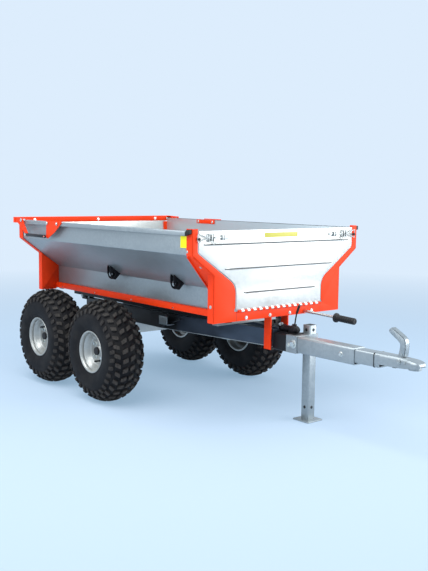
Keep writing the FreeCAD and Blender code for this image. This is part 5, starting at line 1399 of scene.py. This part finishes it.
class TRAILER_OT_stage(bpy.types.Operator):
    """Set the pale floor, the soft lamps, the world and the camera."""
    bl_idname = "trailer.stage"
    bl_label = "Stage"

    def execute(self, context):
        colours = context.scene.trailer_colours
        self.floor(colours)
        self.world(colours)
        for lamp in LAMPS:
            soft_lamp(*lamp)
        self.camera(context)
        context.scene.view_settings.view_transform = "Standard"
        return {"FINISHED"}

    def floor(self, colours):
        """Lay a wide disc whose near part shows some tint, and whose far part fades to the backdrop."""
        reach = [(0.01, 0), (3, 0), (8, 0), (60, 0), (60, -0.02), (0.01, -0.02)]
        vertices, corners, sizes = lathe(reach, (0, 0, 0), "Z", 64)
        mesh = bpy.data.meshes.new("studio_floor")
        faces = np.split(corners, np.cumsum(sizes)[:-1])
        mesh.from_pydata(vertices.tolist(), [], [face.tolist() for face in faces])
        item = bpy.data.objects.new("studio_floor", mesh)
        bpy.context.scene.collection.objects.link(item)
        material, tree, shader, place = new_material("seamless_paper")
        tune(tree, shader, Base_Color=rgba(colours.floor), Roughness=0.75, Specular_IOR_Level=0.2)
        share = combine(tree, "MULTIPLY", direct_ray(tree), FLOOR_TINT)
        tint = add(tree, "Emission", {"Color": rgba(colours.floor_tint), "Strength": 1.0}).outputs[0]
        near = add(tree, "MixShader", {0: share, 1: shader.outputs[0], 2: tint}).outputs[0]
        far = add(tree, "VectorMath", {0: place}, operation="LENGTH").outputs["Value"]
        fade = spread(tree, far, FADE_START, FADE_END, 0.0, 1.0)
        glow = add(tree, "Emission", {"Color": rgba(colours.backdrop), "Strength": 1.0}).outputs[0]
        both_ways = add(tree, "MixShader", {0: fade, 1: near, 2: glow}).outputs[0]
        plug(tree, both_ways, tree.nodes["Material Output"].inputs["Surface"])
        mesh.materials.append(material)

    def world(self, colours):
        """Light the scene evenly, and show the backdrop's colour to the camera and to gloss."""
        world = bpy.data.worlds.new("studio")
        bpy.context.scene.world = world
        world.use_nodes = True
        tree = world.node_tree
        tree.nodes.clear()
        light = add(tree, "Background", {"Color": (0.84, 0.92, 1.0, 1), "Strength": 0.8}).outputs[0]
        seen = add(tree, "Background", {"Color": rgba(colours.backdrop), "Strength": 1.0}).outputs[0]
        mix = add(tree, "MixShader", {0: direct_ray(tree), 1: light, 2: seen})
        add(tree, "OutputWorld", {"Surface": mix.outputs[0]})

    def camera(self, context):
        """Stand the camera off the front right corner, a little above the body."""
        look = np.array(CAMERA["look"])
        look /= np.linalg.norm(look)
        right = np.cross(look, (0, 0, 1))
        right /= np.linalg.norm(right)
        up = np.cross(right, look)
        cosine, sine = math.cos(CAMERA["roll"]), math.sin(CAMERA["roll"])
        data = bpy.data.cameras.new("camera")
        data.lens = CAMERA["lens"]
        data.sensor_width = 36
        data.clip_end = 200
        item = bpy.data.objects.new("camera", data)
        context.scene.collection.objects.link(item)
        frame = np.eye(4)
        x, y = right * cosine + up * sine, up * cosine - right * sine
        frame[:3] = np.column_stack([x, y, -look, CAMERA["place"]])
        item.matrix_world = Matrix(frame.tolist())
        context.scene.camera = item


# ---------------------------------------------------------------- panel and registration

PIECES = (TRAILER_OT_stage, TRAILER_OT_tyres, TRAILER_OT_rims, TRAILER_OT_front_frame, TRAILER_OT_rear_frame,
          TRAILER_OT_side_panels, TRAILER_OT_sills, TRAILER_OT_front_gate, TRAILER_OT_latches,
          TRAILER_OT_tailgate, TRAILER_OT_tie_downs, TRAILER_OT_drawbar, TRAILER_OT_coupler, TRAILER_OT_pump,
          TRAILER_OT_jack, TRAILER_OT_tip_handle, TRAILER_OT_struts, TRAILER_OT_underframe,
          TRAILER_OT_frame_nodes)


class TRAILER_PT_pieces(bpy.types.Panel):
    """List the trailer's pieces, sizes and colours."""
    bl_label = "ATV dump trailer"
    bl_idname = "TRAILER_PT_pieces"
    bl_space_type = "VIEW_3D"
    bl_region_type = "UI"
    bl_category = "Trailer"

    def draw(self, context):
        for group in (context.scene.trailer_sizes, context.scene.trailer_colours):
            for name in group.__annotations__:
                self.layout.prop(group, name)
        for kind in PIECES:
            self.layout.operator(kind.bl_idname)


CLASSES = (TrailerColours, TrailerSizes) + PIECES + (TRAILER_PT_pieces,)


def register():
    """Register the classes and hang the property groups on the scene."""
    for kind in CLASSES:
        bpy.utils.register_class(kind)
    bpy.types.Scene.trailer_colours = bpy.props.PointerProperty(type=TrailerColours)
    bpy.types.Scene.trailer_sizes = bpy.props.PointerProperty(type=TrailerSizes)


def unregister():
    """Take the property groups and the classes away again."""
    del bpy.types.Scene.trailer_colours, bpy.types.Scene.trailer_sizes
    for kind in reversed(CLASSES):
        bpy.utils.unregister_class(kind)


def main():
    register()
    for kind in PIECES:
        group, word = kind.bl_idname.split(".")
        if getattr(getattr(bpy.ops, group), word)() != {"FINISHED"}:
            raise RuntimeError(f"{kind.bl_label} was not finished")


if __name__ == "__main__":
    main()
